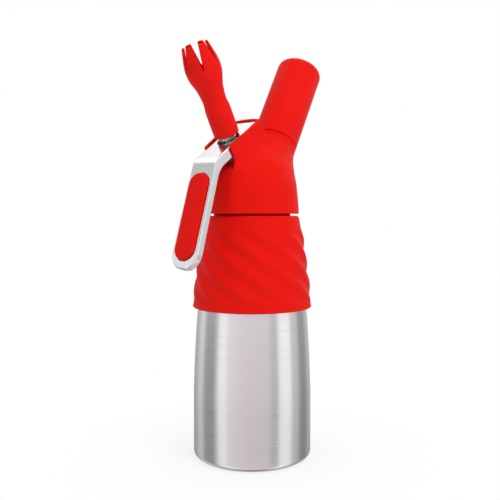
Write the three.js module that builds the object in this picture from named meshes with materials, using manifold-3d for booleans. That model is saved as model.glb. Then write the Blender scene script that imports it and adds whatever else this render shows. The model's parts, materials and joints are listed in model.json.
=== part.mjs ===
// Whipped cream dispenser, in millimetres, +Z up.
// The origin is the centre of the bottle's flat foot. +X points to the charger holder, and
// -X to the lever and the nozzle. The object is alike on both sides of the plane y = 0.
import * as THREE from 'three';
import { mergeVertices } from 'three/addons/utils/BufferGeometryUtils.js';
import Module from 'manifold-3d';

const wasm = await Module();
wasm.setup();

const fullTurn = 2 * Math.PI;

// Gaps and cuts that every piece shares
const clearance = 0.3; // gap between pieces that touch or run on each other
const overrun = 8; // how far a cut runs past the face that it opens
const bite = 0.5; // how deep a joined form starts inside its carrier

// Threads, right-handed
const ridgeRootShare = 0.3; // half the ridge's width at its root, as a share of the pitch
const ridgeCrestShare = 0.15; // and at its crest
const grooveLeadTurns = 1.5; // a groove starts this much before its ridge
const grooveEndTurns = 0.15;

// Bottle
const bottleRadius = 40.5;
const bottleWall = 1.2;
const footRadius = 32.5;
const footCorner = 5; // height of the rounded edge round the foot
const bellyTop = 46.5; // the straight belly ends here
const neckBase = 165.5; // the shoulder ends here, and the head's heights are measured from here
const neckRoot = 25; // outer radius between the thread's turns
const neckWall = 1.8;
const neckHeight = 22;
const neckThreadDepth = 1.4;
const neckThreadPitch = 5.5;
const neckThreadRise = 6; // from the neck's foot to the middle of the thread's first turn
const neckThreadTurns = 2;
const flankShares = [
  // share of the height from belly to neck, share of the radius between neck and belly
  [0.1, 0.975],
  [0.24, 0.93],
  [0.39, 0.865],
  [0.52, 0.78],
  [0.7, 0.665],
  [0.82, 0.56],
  [0.91, 0.42],
  [0.965, 0.25],
];

// Sleeve over the bottle's shoulder
const sleeveRise = 0.3; // from the neck's foot to the sleeve's top
const sleeveLength = 63;
const sleeveWall = 3.3; // thickness that the shares below are of
const sleeveLipWall = 3.6; // at the rounded lip
const sleeveTopWall = 7.3; // at the top, out from the bottle's neck
const sleeveEdge = 0.9; // rounding of the lip and of the top edge
const fluteCount = 10;
const fluteRise = 0.7; // how far a ridge stands over the mean surface
const fluteSpacing = 15.8; // from ridge to ridge, up the side
const flutePhase = 3; // radians
const sleeveShares = [
  // share of the height, share of the wall that stands out from the bottle's flank
  [0, 1.02],
  [0.08, 1.015],
  [0.19, 0.975],
  [0.3, 0.91],
  [0.41, 0.81],
  [0.52, 0.775],
  [0.63, 0.715],
  [0.74, 0.8],
  [0.85, 0.945],
  [0.93, 1.295],
  [1, 2.265],
];
const fluteFadeShares = [0.05, 0.16, 0.74, 0.92]; // flutes rise and fade between these heights

// Head: a threaded cap with a boss for the valve and one for the charger
const axesRise = 8.2; // from the neck's foot to where the valve's and the charger's axes meet
const valveLean = THREE.MathUtils.degToRad(-30);
const chargerLean = THREE.MathUtils.degToRad(29.5);
const capRadius = 29.2;
const capGap = 2; // between the sleeve and the cap's edge
const capRise = 37; // from the neck's foot to the top of the cap's dome
const ceilingRise = 3.1; // from the bottle's rim to the cap's underside
const capShares = [
  // share of the height, share of the radius
  [0.42, 1],
  [0.6, 0.945],
  [0.78, 0.822],
  [0.93, 0.56],
];
const gasketThickness = 2.5;
const gasketOuter = 26;
const gasketInner = 21.5;

// Valve, measured along its axis from the point where the axes meet
const seatHeight = 14; // the poppet closes on this face
const seatRadius = 7.2;
const flowRadius = 4.4;
const flowTop = 22;
const sealDepth = 3.3;
const sealPocketRadius = 5.2;
const springBore = 6.6;
const bushThickness = 3.1;
const valveBossRadius = 8.5;
const valveBossTop = 38;
const stemRadius = 3.2;
const stemTailRadius = 2.2;
const stemTailLength = 6;
const stemBore = 1.9;
const stemBoreLow = 17;
const stemPortRadius = 1.4;
const flangeRadius = 7.6;
const flangeLow = 45.2;
const flangeThickness = 2;
const stemTop = 60.6;
const stemThreadDepth = 0.7;
const stemThreadPitch = 2;
const stemThreadLow = 53.2;
const stemThreadTurns = 2.6;
const springWire = 0.7; // radius of the wire
const springCoil = 5; // radius of the coil at the wire's middle
const springTurns = 6;
const poppetRadius = 6;
const poppetThickness = 1.8;
const nutRadius = 6.2;
const nutThickness = 2.3;

// Lever, in the frame of its hinge pin: x runs back along the top plate, z is square to it
const hingeReach = 16.5; // from the valve's axis back to the pin
const hingeHeight = 47.2; // along the valve's axis
const leverLean = THREE.MathUtils.degToRad(-4.5); // added to the valve's lean
const pinRadius = 1.6;
const lugInner = 10.3;
const lugThickness = 2.2;
const lugRadius = 4.4;
const lugFootDrop = 27;
const lugFootFront = 8;
const lugFootRear = 3;
const leverHalfWidth = 10;
const cheekThickness = 1.8;
const plateThickness = 2;
const plateRise = 4.7; // outer face of the top plate over the pin
const plateRear = 5.4;
const plateFront = 44.4; // from the pin to the corner of the two outer faces
const legLength = 73;
const legBend = THREE.MathUtils.degToRad(38);
const bendRadius = 9;
const cheekDepth = 6;
const cheekEndDepth = 5.8;
const cheekTaper = 12; // the cheeks deepen towards the pin from here
const hingeEyeRadius = 4.5;
const slotHalfWidth = 6.8; // hole for the stem in the top plate
const slotFront = 1.6;
const slotRear = 1.6;
const pressRadius = 1.2; // ridges under the plate that push the flange
const padStart = 8.9;
const padEnd = 66.4;
const padHalfWidth = 7.9;
const padRise = 1.8;
const padSink = 0.8;
const padEdgeShares = [
  // the pad's rounded edge: share of the rise inwards, share of the rise upwards
  [0, 0.55],
  [0.35, 0.85],
  [1.1, 1],
];

// Red skin of the head
const coverGap = 1.4; // the dark line between the sleeve and the head
const coverRadius = 32.4;
const coverRise = 47; // from the neck's foot to the top of the skin's dome
const coverShares = [
  // share of the height, share of the radius
  [0.07, 0.997],
  [0.2, 0.985],
  [0.32, 0.969],
  [0.45, 0.948],
  [0.56, 0.913],
  [0.69, 0.864],
  [0.82, 0.756],
  [0.94, 0.48],
];
const chinRadius = 33.4; // the front wall under the hood
const chinHalfWidth = 13;
const hoodHalfWidth = 14;
const hoodSideGap = 1; // between the lever and the hood's inner sides
const hoodStand = 1; // the hood's edge over the lever's top plate
const hoodFront = 30.6;
const hoodSill = 33.8;
const hoodFloor = 9.6; // drop from the pin to the slot's floor
const hoodRear = 8.7;
const hoodRearFoot = 6.2;
const hoodRearDrop = 9.3;
const rearWall = 2.2;
const hoodRootDepth = 26;
const fairingPlaces = [
  // the hood's lower rear edge runs into the charger's boss: reach back, drop
  [10.8, 16.1],
  [18.3, 23.3],
];

// Charger port and holder, measured along the charger's axis from where the axes meet
const seamHeight = 53.7; // the skin ends here and the holder starts
const seamGap = 0.5;
const holderRadius = 16.4;
const holderLength = 64;
const gripWall = 2.1;
const gripEdge = 5;
const cupWall = 1.6;
const cupInnerRadius = 9.3;
const cushionThickness = 1.7;
const cushionRadius = 6.5;
const gasBossRadius = 12.6;
const portRadius = 9.5;
const portLow = 40;
const portFlangeRadius = 12.2;
const portFlangeThickness = 1.8;
const portTop = 64;
const portThreadRoot = 10;
const portThreadDepth = 1;
const portThreadPitch = 2.5;
const portThreadLow = 56;
const portThreadTurns = 2;
const portFloor = 2.6;
const noseBore = 4.7;
const flareHeight = 7.4;
const gasBore = 1.2;
const spigotRadius = 3;
const spigotEnd = 11.5;
const checkSleeveWall = 1.3;
const piercerRadius = 1.2;
const piercerBore = 0.45;
const piercerHeadRadius = 2.6;
const piercerHeadThickness = 1.4;
const piercerReach = 2.2; // how far the tip stands in the charger's nose
const piercerPoint = 1.8;
const portSealRadius = 4.3;
const chargerRadius = 9;
const chargerLength = 65.6;
const noseTip = 46.3;
const noseRadius = 4.3;
const noseLength = 9.5;
const noseEdge = 0.7;
const shoulderLength = 11;
const shoulderShares = [
  // share of the shoulder's length, share of the step from nose to body
  [0, 0],
  [0.2, 0.16],
  [0.45, 0.52],
  [0.7, 0.83],
  [1, 1],
];
const chargerEnd = 5; // height of the rounded end
const pierceRadius = 1.6;
const pierceDepth = 3;

// Nozzle, measured along the valve's axis from where the axes meet
const nozzleBase = 53.4;
const nozzleLength = 63.3;
const nozzleFoot = 8.2; // outer radius at the base
const nozzleWall = 2;
const collarRadius = 6;
const collarDrop = 2.7; // the metal collar shows under the nozzle
const adapterRadius = 5.6;
const adapterTop = 63.4;
const adapterHole = 2.6;
const nozzleSealThickness = 1.2;
const nozzleSealOuter = 4.3;
const petalSlots = 3; // each cut makes two of the six slots
const petalDepth = 17;
const petalWidth = 4.6; // width of a slot at the tip
const petalPhase = THREE.MathUtils.degToRad(12);
const nozzleShares = [
  // share of the length, share of the foot's radius
  [0, 0.975],
  [0.016, 1],
  [0.267, 0.99],
  [0.32, 0.945],
  [0.38, 0.912],
  [0.45, 0.961],
  [0.523, 1.066],
  [0.592, 1.232],
  [0.652, 1.366],
  [0.701, 1.402],
  [0.75, 1.411],
  [0.82, 1.335],
  [0.91, 1.17],
  [1, 1],
];
const nozzleBoreStart = 5; // the first of the shares above that the inner wall follows

// Values worked out from those above
const neckRim = neckBase + neckHeight;
const sleeveTop = neckBase + sleeveRise;
const sleeveLow = sleeveTop - sleeveLength;
const axesMeet = neckBase + axesRise;
const capCrown = neckBase + capRise;
const capCeiling = neckRim + ceilingRise;
const coverCrown = neckBase + coverRise;
const neckBore = neckRoot - neckWall;
const capLow = sleeveTop + capGap;
const capBore = neckRoot + clearance;
const gasketLow = neckRim + clearance;
const coverLow = sleeveTop + coverGap;
const sealPocketTop = flowTop + sealDepth;
const bushLow = sealPocketTop + clearance;
const bushTop = bushLow + bushThickness;
const lugOuter = lugInner + lugThickness;
const gasBossTop = seamHeight - portFlangeThickness - 2 * clearance;
const portFlangeLow = gasBossTop + clearance;
const portFlangeTop = portFlangeLow + portFlangeThickness;
const portFloorTop = portLow + portFloor;
const holderLow = seamHeight + seamGap;
const holderTop = holderLow + holderLength;
const cupRadius = holderRadius - gripWall - clearance;
const cupTop = holderTop - gripWall - clearance;
const cupCeiling = cupTop - cupWall;
const adapterLow = nozzleBase - collarDrop;
const adapterBore = stemRadius + clearance;

// Colours and finishes
function finish(color, roughness, metalness) {
  return new THREE.MeshStandardMaterial({ color, roughness, metalness });
}
const brushedSteel = finish('#c9c7c6', 0.32, 1);
const satinMetal = finish('#d6d6d8', 0.38, 1);
const polishedSteel = finish('#c4c6c8', 0.18, 1);
const springSteel = finish('#9fa2a5', 0.3, 1);
const redSilicone = finish('#e01a16', 0.55, 0);
const redPlastic = finish('#e31c18', 0.4, 0);
const paleRubber = finish('#d9d6cf', 0.7, 0);
const blackRubber = finish('#232325', 0.75, 0);

// Closed meshes

// A geometry with shared corners merged, empty triangles dropped and its faces pointing out
function closedGeometry(geometry) {
  const source = geometry.clone();
  source.deleteAttribute('normal');
  source.deleteAttribute('uv');
  const merged = mergeVertices(source);
  const corner = merged.getIndex().array;
  const place = merged.getAttribute('position');
  const kept = [];
  let volume = 0;
  const a = new THREE.Vector3();
  const b = new THREE.Vector3();
  const c = new THREE.Vector3();
  for (let i = 0; i < corner.length; i += 3) {
    const [p, q, r] = [corner[i], corner[i + 1], corner[i + 2]];
    if (p === q || q === r || r === p) continue;
    kept.push([p, q, r]);
    a.fromBufferAttribute(place, p);
    b.fromBufferAttribute(place, q);
    c.fromBufferAttribute(place, r);
    volume += a.dot(b.cross(c));
  }
  const faces = volume < 0 ? kept.map(([p, q, r]) => [p, r, q]) : kept;
  const result = new THREE.BufferGeometry();
  result.setAttribute('position', place);
  result.setIndex(faces.flat());
  return result;
}

function solid(geometry) {
  const closed = closedGeometry(geometry);
  return new wasm.Manifold(new wasm.Mesh({
    numProp: 3,
    vertProperties: new Float32Array(closed.getAttribute('position').array),
    triVerts: new Uint32Array(closed.getIndex().array),
  }));
}

function geometryOf(shape) {
  const mesh = shape.getMesh();
  const geometry = new THREE.BufferGeometry();
  geometry.setAttribute('position', new THREE.BufferAttribute(mesh.vertProperties, mesh.numProp));
  geometry.setIndex(new THREE.BufferAttribute(mesh.triVerts, 1));
  return geometry;
}

function moved(shape, matrix) {
  return shape.transform(matrix.elements);
}

// A body of revolution round Z. The profile is a list of [radius, height] that starts and
// ends on the axis, or closes on itself
function turned(profile, sides) {
  const closed = profile[0][0] > 0 ? [...profile, profile[0]] : profile;
  const points = closed.map(([radius, height]) => new THREE.Vector2(radius, height));
  return new THREE.LatheGeometry(points, sides).rotateX(Math.PI / 2);
}

function rod(radius, low, high, sides) {
  return turned([[0, low], [radius, low], [radius, high], [0, high]], sides);
}

function tube(inner, outer, low, high, sides) {
  return turned([[inner, low], [outer, low], [outer, high], [inner, high]], sides);
}

function shapeOf(outline) {
  return new THREE.Shape(outline.map(([x, y]) => new THREE.Vector2(x, y)));
}

// An outline of [x, z] made into a slab from one y to another
function slab(outline, nearY, farY) {
  const options = { depth: farY - nearY, bevelEnabled: false };
  const geometry = new THREE.ExtrudeGeometry(shapeOf(outline), options);
  return geometry.rotateX(Math.PI / 2).translate(0, farY, 0);
}

// An outline of [x, y] made into a prism from one z to another
function prism(outline, low, high) {
  const options = { depth: high - low, bevelEnabled: false };
  return new THREE.ExtrudeGeometry(shapeOf(outline), options).translate(0, 0, low);
}

// A body skinned over rings of points. It is a closed loop of rings, or it is capped at both ends
function skinned(rings, looped) {
  const size = rings[0].length;
  const places = rings.flat().flatMap((point) => point.toArray());
  const faces = [];
  const spans = looped ? rings.length : rings.length - 1;
  for (let i = 0; i < spans; i += 1) {
    const here = i * size;
    const next = ((i + 1) % rings.length) * size;
    for (let j = 0; j < size; j += 1) {
      const k = (j + 1) % size;
      faces.push(here + j, here + k, next + k, here + j, next + k, next + j);
    }
  }
  if (!looped) {
    const last = (rings.length - 1) * size;
    for (let j = 1; j < size - 1; j += 1) {
      faces.push(0, j + 1, j, last, last + j, last + j + 1);
    }
  }
  const geometry = new THREE.BufferGeometry();
  geometry.setAttribute('position', new THREE.Float32BufferAttribute(places, 3));
  geometry.setIndex(faces);
  return geometry;
}

// Points on an arc of an ellipse, in [first, second] pairs
function arc(centre, radii, from, to, steps) {
  return Array.from({ length: steps + 1 }, (_, i) => {
    const angle = from + ((to - from) * i) / steps;
    return [centre[0] + radii[0] * Math.cos(angle), centre[1] + radii[1] * Math.sin(angle)];
  });
}

// A path of [radius, height] pairs moved square to itself, outwards where it is positive
function shifted(path, distance) {
  return path.map(([radius, height], i) => {
    const before = path[Math.max(i - 1, 0)];
    const after = path[Math.min(i + 1, path.length - 1)];
    const run = [after[0] - before[0], after[1] - before[1]];
    const length = Math.hypot(run[0], run[1]);
    return [radius + (distance * run[1]) / length, height - (distance * run[0]) / length];
  });
}

function between(low, high, share) {
  return low + (high - low) * share;
}

// The rounded outline of a long hole or pad, from one end to the other
function stadium(start, end, halfWidth, steps) {
  const quarter = Math.PI / 2;
  return [
    ...arc([end - halfWidth, 0], [halfWidth, halfWidth], -quarter, quarter, steps),
    ...arc([start + halfWidth, 0], [halfWidth, halfWidth], quarter, 3 * quarter, steps),
  ];
}

// The ridge of a right-hand thread between two counts of turns from its lowest middle. Grown
// by a gap it cuts the groove that the ridge runs in
function threadRidge({ root, depth, pitch, low, steps }, from, to, gap = 0) {
  const rootHalf = pitch * ridgeRootShare + gap;
  const crestHalf = pitch * ridgeCrestShare + gap;
  const section = [
    [root - bite, -rootHalf],
    [root + depth + gap, -crestHalf],
    [root + depth + gap, crestHalf],
    [root - bite, rootHalf],
  ];
  const count = Math.round((to - from) * steps);
  const rings = Array.from({ length: count + 1 }, (_, i) => {
    const turns = from + i / steps;
    return section.map(([radius, rise]) => new THREE.Vector3(
      radius * Math.cos(fullTurn * turns),
      radius * Math.sin(fullTurn * turns),
      low + pitch * turns + rise,
    ));
  });
  return solid(skinned(rings, false));
}

function threadOf(thread) {
  return threadRidge(thread, 0, thread.turns);
}

// A cap's groove runs on below the ridge until it has left the cap
function grooveFor(thread) {
  return threadRidge(thread, -grooveLeadTurns, thread.turns + grooveEndTurns, clearance);
}

// Frames of the valve, the lever's hinge and the charger, as groups and as matrices
function leaning(lean) {
  const group = new THREE.Group();
  group.position.z = axesMeet;
  group.rotation.y = lean;
  return group;
}
const dispenser = new THREE.Group();
const valveGroup = leaning(valveLean);
const chargerGroup = leaning(chargerLean);
const hingeGroup = new THREE.Group();
hingeGroup.position.set(hingeReach, 0, hingeHeight);
hingeGroup.rotation.y = leverLean;
valveGroup.add(hingeGroup);
dispenser.add(valveGroup, chargerGroup);
dispenser.updateMatrixWorld(true);
const valveFrame = valveGroup.matrixWorld;
const chargerFrame = chargerGroup.matrixWorld;
const hingeFrame = hingeGroup.matrixWorld;

function addPiece(parent, name, shape, material) {
  const geometry = shape.isBufferGeometry ? closedGeometry(shape) : geometryOf(shape);
  const mesh = new THREE.Mesh(geometry, material);
  mesh.name = name;
  parent.add(mesh);
}

// Bottle

const neckThread = {
  root: neckRoot,
  depth: neckThreadDepth,
  pitch: neckThreadPitch,
  low: neckBase + neckThreadRise,
  turns: neckThreadTurns,
  steps: 24,
};

function bottleFlank() {
  const flank = flankShares.map(([heightShare, radiusShare]) => [
    between(neckRoot, bottleRadius, radiusShare),
    between(bellyTop, neckBase, heightShare),
  ]);
  return [[bottleRadius, bellyTop], ...flank, [neckRoot, neckBase]];
}

function makeBottle() {
  const edgeRadii = [bottleRadius - footRadius, footCorner];
  const foot = arc([footRadius, footCorner], edgeRadii, -Math.PI / 2, 0, 4);
  const outside = [...foot, ...bottleFlank()];
  const inside = shifted(outside, -bottleWall).filter((_, i) => i % 2 === 0);
  inside[0] = [footRadius, bottleWall];
  const profile = [
    [0, 0],
    ...outside,
    [neckRoot, neckRim],
    [neckBore, neckRim],
    [neckBore, neckBase],
    ...inside.reverse(),
    [0, bottleWall],
  ];
  return solid(turned(profile, 36)).add(threadOf(neckThread));
}

// Sleeve

// How strong the flutes are at a share of the sleeve's height
function fluteFade(share) {
  const [low, full, drop, end] = fluteFadeShares;
  const rise = THREE.MathUtils.smoothstep(share, low, full);
  return rise * (1 - THREE.MathUtils.smoothstep(share, drop, end));
}

function sleeveRing(radius, height, fade, sides) {
  return Array.from({ length: sides }, (_, i) => {
    const angle = (fullTurn * i) / sides;
    const climb = (fullTurn * (height - sleeveLow)) / fluteSpacing;
    const wave = Math.cos(fluteCount * angle + climb + flutePhase);
    const reach = radius + fluteRise * fade * wave;
    return new THREE.Vector3(reach * Math.cos(angle), reach * Math.sin(angle), height);
  });
}

function makeSleeve() {
  const sides = 50;
  const bare = bottleFlank();
  const curve = new THREE.SplineCurve(sleeveShares.map(([heightShare, wallShare]) => {
    const height = between(sleeveLow, sleeveTop, heightShare);
    return new THREE.Vector2(radiusAt(bare, height) + sleeveWall * wallShare, height);
  }));
  const outside = curve.getPoints(13).map((point) => [point.x, point.y]);
  const lipRadius = radiusAt(bare, sleeveLow) + sleeveLipWall;
  const topRadius = radiusAt(bare, sleeveTop) + sleeveTopWall;
  outside[0] = [lipRadius - sleeveEdge, sleeveLow];
  outside.splice(1, 0, [lipRadius, sleeveLow + sleeveEdge]);
  outside[outside.length - 1] = [topRadius, sleeveTop - sleeveEdge];
  outside.push([topRadius - sleeveEdge, sleeveTop]);
  const flank = shifted(bare, clearance);
  const inside = flank.filter(([, height]) => height > sleeveLow && height < sleeveTop);
  const foot = radiusAt(flank, sleeveLow);
  const top = radiusAt(flank, sleeveTop);
  const lining = [[foot, sleeveLow], ...inside, [top, sleeveTop]].reverse();
  const rings = [
    ...outside.map(([radius, height]) => {
      const fade = fluteFade((height - sleeveLow) / sleeveLength);
      return sleeveRing(radius, height, fade, sides);
    }),
    ...lining.map(([radius, height]) => sleeveRing(radius, height, 0, sides)),
  ];
  return skinned(rings, true);
}

// The radius of a rising path of [radius, height] pairs at one height. Past its end it stays
function radiusAt(path, height) {
  const last = path[path.length - 1];
  if (height >= last[1]) return last[0];
  const upper = Math.max(path.findIndex((point) => point[1] >= height), 1);
  const [below, above] = [path[upper - 1], path[upper]];
  return between(below[0], above[0], (height - below[1]) / (above[1] - below[1]));
}

// Head core

function capDome(grow, low) {
  const rise = capCrown - capLow;
  const dome = capShares.map(([heightShare, radiusShare]) => [
    capRadius * radiusShare,
    capLow + rise * heightShare,
  ]);
  const outside = shifted([[capRadius, capLow], ...dome, [0, capCrown]], grow);
  outside[0] = [capRadius + grow, low];
  outside[outside.length - 1] = [0, capCrown + grow];
  return solid(turned([[0, low], ...outside], 36));
}

// The outline of a lug in the valve's frame: an eye round the pin on a foot in the cap
function lugOutline(grow) {
  const radius = lugRadius + grow;
  const eye = arc([hingeReach, hingeHeight], [radius, radius], 0, Math.PI, 8);
  const footHeight = hingeHeight - lugFootDrop;
  return [
    [hingeReach + lugFootRear + grow, footHeight],
    ...eye,
    [hingeReach - lugFootFront - grow, footHeight],
  ];
}

// The outer form of the core. The skin's inside is the same form grown by a clearance
function coreForm(grow, past) {
  const lugs = [-1, 1].map((side) => {
    const edges = [side * (lugInner - grow), side * (lugOuter + grow)];
    return solid(slab(lugOutline(grow), Math.min(...edges), Math.max(...edges)));
  });
  const valveBoss = solid(rod(valveBossRadius + grow, seatHeight, valveBossTop + past, 24));
  const gasBoss = solid(rod(gasBossRadius + grow, spigotEnd, gasBossTop + past, 28));
  return capDome(grow, capLow - past)
    .add(moved(valveBoss.add(lugs[0]).add(lugs[1]), valveFrame))
    .add(moved(gasBoss, chargerFrame));
}

function makeHeadCore() {
  const threadTop = gasketLow - clearance;
  const mouth = turned([
    [0, capLow - overrun],
    [capBore, capLow - overrun],
    [capBore, threadTop],
    [gasketOuter + clearance, threadTop],
    [gasketOuter + clearance, capCeiling],
    [0, capCeiling],
  ], 36);
  const seatBoss = moved(solid(rod(seatRadius, seatHeight, flowTop, 20)), valveFrame);
  const spigot = moved(solid(rod(spigotRadius, spigotEnd, flowTop, 14)), chargerFrame);
  const valveBore = solid(turned([
    [0, seatHeight - overrun],
    [flowRadius, seatHeight - overrun],
    [flowRadius, flowTop],
    [sealPocketRadius, flowTop],
    [sealPocketRadius, sealPocketTop],
    [springBore, sealPocketTop],
    [springBore, valveBossTop + overrun],
    [0, valveBossTop + overrun],
  ], 20));
  const pinBore = solid(rod(pinRadius + clearance, -lugOuter - overrun, lugOuter + overrun, 16));
  const acrossHinge = new THREE.Matrix4().makeRotationX(Math.PI / 2);
  acrossHinge.premultiply(hingeFrame);
  const gasWay = solid(turned([
    [0, spigotEnd - overrun],
    [gasBore, spigotEnd - overrun],
    [gasBore, portLow - clearance],
    [portRadius + clearance, portLow - clearance],
    [portRadius + clearance, gasBossTop + overrun],
    [0, gasBossTop + overrun],
  ], 24));
  return coreForm(0, 0)
    .subtract(solid(mouth))
    .subtract(grooveFor(neckThread))
    .add(seatBoss)
    .add(spigot)
    .subtract(moved(valveBore, valveFrame))
    .subtract(moved(gasWay, chargerFrame))
    .subtract(moved(pinBore, acrossHinge));
}

// Red skin of the head

// The hood's outline in the hinge's frame. It is cut for the lever by the slot
function hoodOutline() {
  const edge = plateRise + hoodStand;
  return [
    [-hoodFront, edge],
    [hoodRear, edge],
    [hoodRearFoot, -hoodRearDrop],
    ...fairingPlaces.map(([reach, drop]) => [reach, -drop]),
    [0, -hoodFloor - hoodRootDepth],
    [-hoodSill, -hoodFloor - bendRadius],
    [-hoodSill, -hoodFloor],
  ];
}

function slotOutline() {
  const edge = plateRise + hoodStand + overrun;
  const lean = (hoodRear - hoodRearFoot) / (plateRise + hoodStand + hoodRearDrop);
  const footRear = hoodRearFoot - rearWall - (hoodFloor - hoodRearDrop) * lean;
  return [
    [-hoodSill - overrun, -hoodFloor],
    [footRear, -hoodFloor],
    [hoodRear - rearWall + overrun * lean, edge],
    [-hoodSill - overrun, edge],
  ];
}

function makeHeadCover() {
  const dome = coverShares.map(([heightShare, radiusShare]) => [
    coverRadius * radiusShare,
    between(coverLow, coverCrown, heightShare),
  ]);
  const skin = solid(turned([[0, coverLow], [coverRadius, coverLow], ...dome, [0, coverCrown]], 36));
  const boss = moved(solid(rod(holderRadius, seatHeight, seamHeight, 32)), chargerFrame);
  const hood = moved(solid(slab(hoodOutline(), -hoodHalfWidth, hoodHalfWidth)), hingeFrame);
  const sill = new THREE.Vector3(-hoodSill, 0, -hoodFloor).applyMatrix4(hingeFrame);
  const chin = solid(turned([
    [0, coverLow],
    [coverRadius, coverLow],
    [chinRadius, sill.z],
    [0, sill.z],
  ], 36));
  const chinSides = [[0, coverLow], [0, sill.z], [-coverRadius - overrun, sill.z]];
  chinSides.push([-coverRadius - overrun, coverLow]);
  const front = chin.intersect(solid(slab(chinSides, -chinHalfWidth, chinHalfWidth)));
  const slotHalf = leverHalfWidth + hoodSideGap;
  const slot = moved(solid(slab(slotOutline(), -slotHalf, slotHalf)), hingeFrame);
  return skin.add(boss).add(hood).add(front).subtract(slot).subtract(coreForm(clearance, overrun));
}

// Valve

const stemThread = {
  root: stemRadius,
  depth: stemThreadDepth,
  pitch: stemThreadPitch,
  low: stemThreadLow,
  turns: stemThreadTurns,
  steps: 10,
};

function makeStem() {
  const flangeTop = flangeLow + flangeThickness;
  const body = solid(turned([
    [0, seatHeight - stemTailLength],
    [stemTailRadius, seatHeight - stemTailLength],
    [stemTailRadius, seatHeight],
    [stemRadius, seatHeight],
    [stemRadius, flangeLow],
    [flangeRadius, flangeLow],
    [flangeRadius, flangeTop],
    [stemRadius, flangeTop],
    [stemRadius, stemTop],
    [stemBore, stemTop],
    [stemBore, stemBoreLow],
    [0, stemBoreLow],
  ], 20));
  const port = solid(rod(stemPortRadius, -stemRadius - overrun, stemRadius + overrun, 12));
  const across = new THREE.Matrix4().makeRotationX(Math.PI / 2);
  across.setPosition(0, 0, stemBoreLow + stemPortRadius);
  return body.add(threadOf(stemThread)).subtract(moved(port, across));
}

function makeNut(low, high) {
  const bore = solid(rod(stemTailRadius + clearance, low - overrun, high + overrun, 16));
  return solid(rod(nutRadius, low, high, 6)).subtract(bore);
}

class Helix extends THREE.Curve {
  constructor(radius, low, high, turns) {
    super();
    Object.assign(this, { radius, low, high, turns });
  }

  getPoint(share, target = new THREE.Vector3()) {
    const angle = fullTurn * this.turns * share;
    const height = between(this.low, this.high, share);
    return target.set(this.radius * Math.cos(angle), this.radius * Math.sin(angle), height);
  }
}

function makeSpring() {
  const low = bushTop + clearance + springWire;
  const high = flangeLow - clearance - springWire;
  const section = arc([0, 0], [springWire, springWire], 0, fullTurn, 5).slice(0, -1);
  return new THREE.ExtrudeGeometry(shapeOf(section), {
    steps: springTurns * 8,
    extrudePath: new Helix(springCoil, low, high, springTurns),
    bevelEnabled: false,
  });
}

// Lever

// The lever's bent profile at a depth under its outer face, from the pin's side to the leg's end
function leverPath(depth, endDepth, rear) {
  const radius = bendRadius - depth;
  const centreX = -plateFront + bendRadius * Math.tan(legBend / 2);
  const centre = [centreX, plateRise - bendRadius];
  const bend = arc(centre, [radius, radius], Math.PI / 2, Math.PI / 2 + legBend, 5);
  const along = [-Math.cos(legBend), -Math.sin(legBend)];
  const inward = [Math.sin(legBend), -Math.cos(legBend)];
  const end = [
    -plateFront + along[0] * legLength + inward[0] * endDepth,
    plateRise + along[1] * legLength + inward[1] * endDepth,
  ];
  return [[rear, plateRise - depth], ...bend, end];
}

// The frame of the leg's outer face: x runs down the leg, z points out of the face
function legFrame() {
  const along = new THREE.Vector3(-Math.cos(legBend), 0, -Math.sin(legBend));
  const outward = new THREE.Vector3(-Math.sin(legBend), 0, Math.cos(legBend));
  const across = new THREE.Vector3().crossVectors(outward, along);
  const frame = new THREE.Matrix4().makeBasis(along, across, outward);
  return frame.setPosition(-plateFront, 0, plateRise);
}

// Everything up to the leg's rounded end, seen square to the leg
function legPlan(inset) {
  const far = legLength + plateFront;
  const outline = stadium(-far, legLength - inset, leverHalfWidth - inset, 8);
  return moved(solid(prism(outline, -far, far)), legFrame());
}

function makeLever() {
  const outer = leverPath(0, 0, plateRear);
  const lower = leverPath(cheekDepth, cheekEndDepth, -cheekTaper).reverse();
  const eye = arc([0, 0], [hingeEyeRadius, hingeEyeRadius], -Math.PI / 2, 0, 5);
  const side = [...outer, ...lower, ...eye, [plateRear, hingeEyeRadius / 2]];
  const body = solid(slab(side, -leverHalfWidth, leverHalfWidth)).intersect(legPlan(0));
  const under = leverPath(plateThickness, plateThickness, plateRear + overrun);
  const depth = cheekDepth + overrun + hingeEyeRadius;
  const below = leverPath(depth, depth, plateRear + overrun);
  const channelHalf = leverHalfWidth - cheekThickness;
  const hollowSide = [...under, below[below.length - 1], below[0]];
  const channel = solid(slab(hollowSide, -channelHalf, channelHalf));
  const hollow = channel.intersect(legPlan(cheekThickness));
  const stemAt = -hingeReach * Math.cos(leverLean);
  const hole = stadium(
    stemAt - slotFront - slotHalfWidth,
    stemAt + slotRear + slotHalfWidth,
    slotHalfWidth,
    7,
  );
  const stemHole = solid(prism(hole, -overrun, plateRise + overrun));
  const pocket = stadium(padStart - clearance, padEnd + clearance, padHalfWidth + clearance, 8);
  const padPocket = moved(solid(prism(pocket, -padSink, overrun)), legFrame());
  const pinReach = leverHalfWidth + overrun;
  const pinHole = solid(rod(pinRadius + clearance, -pinReach, pinReach, 16));
  const across = new THREE.Matrix4().makeRotationX(Math.PI / 2);
  return body
    .subtract(hollow)
    .subtract(stemHole)
    .add(pressRidges(stemAt, channelHalf))
    .subtract(padPocket)
    .subtract(moved(pinHole, across));
}

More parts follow.
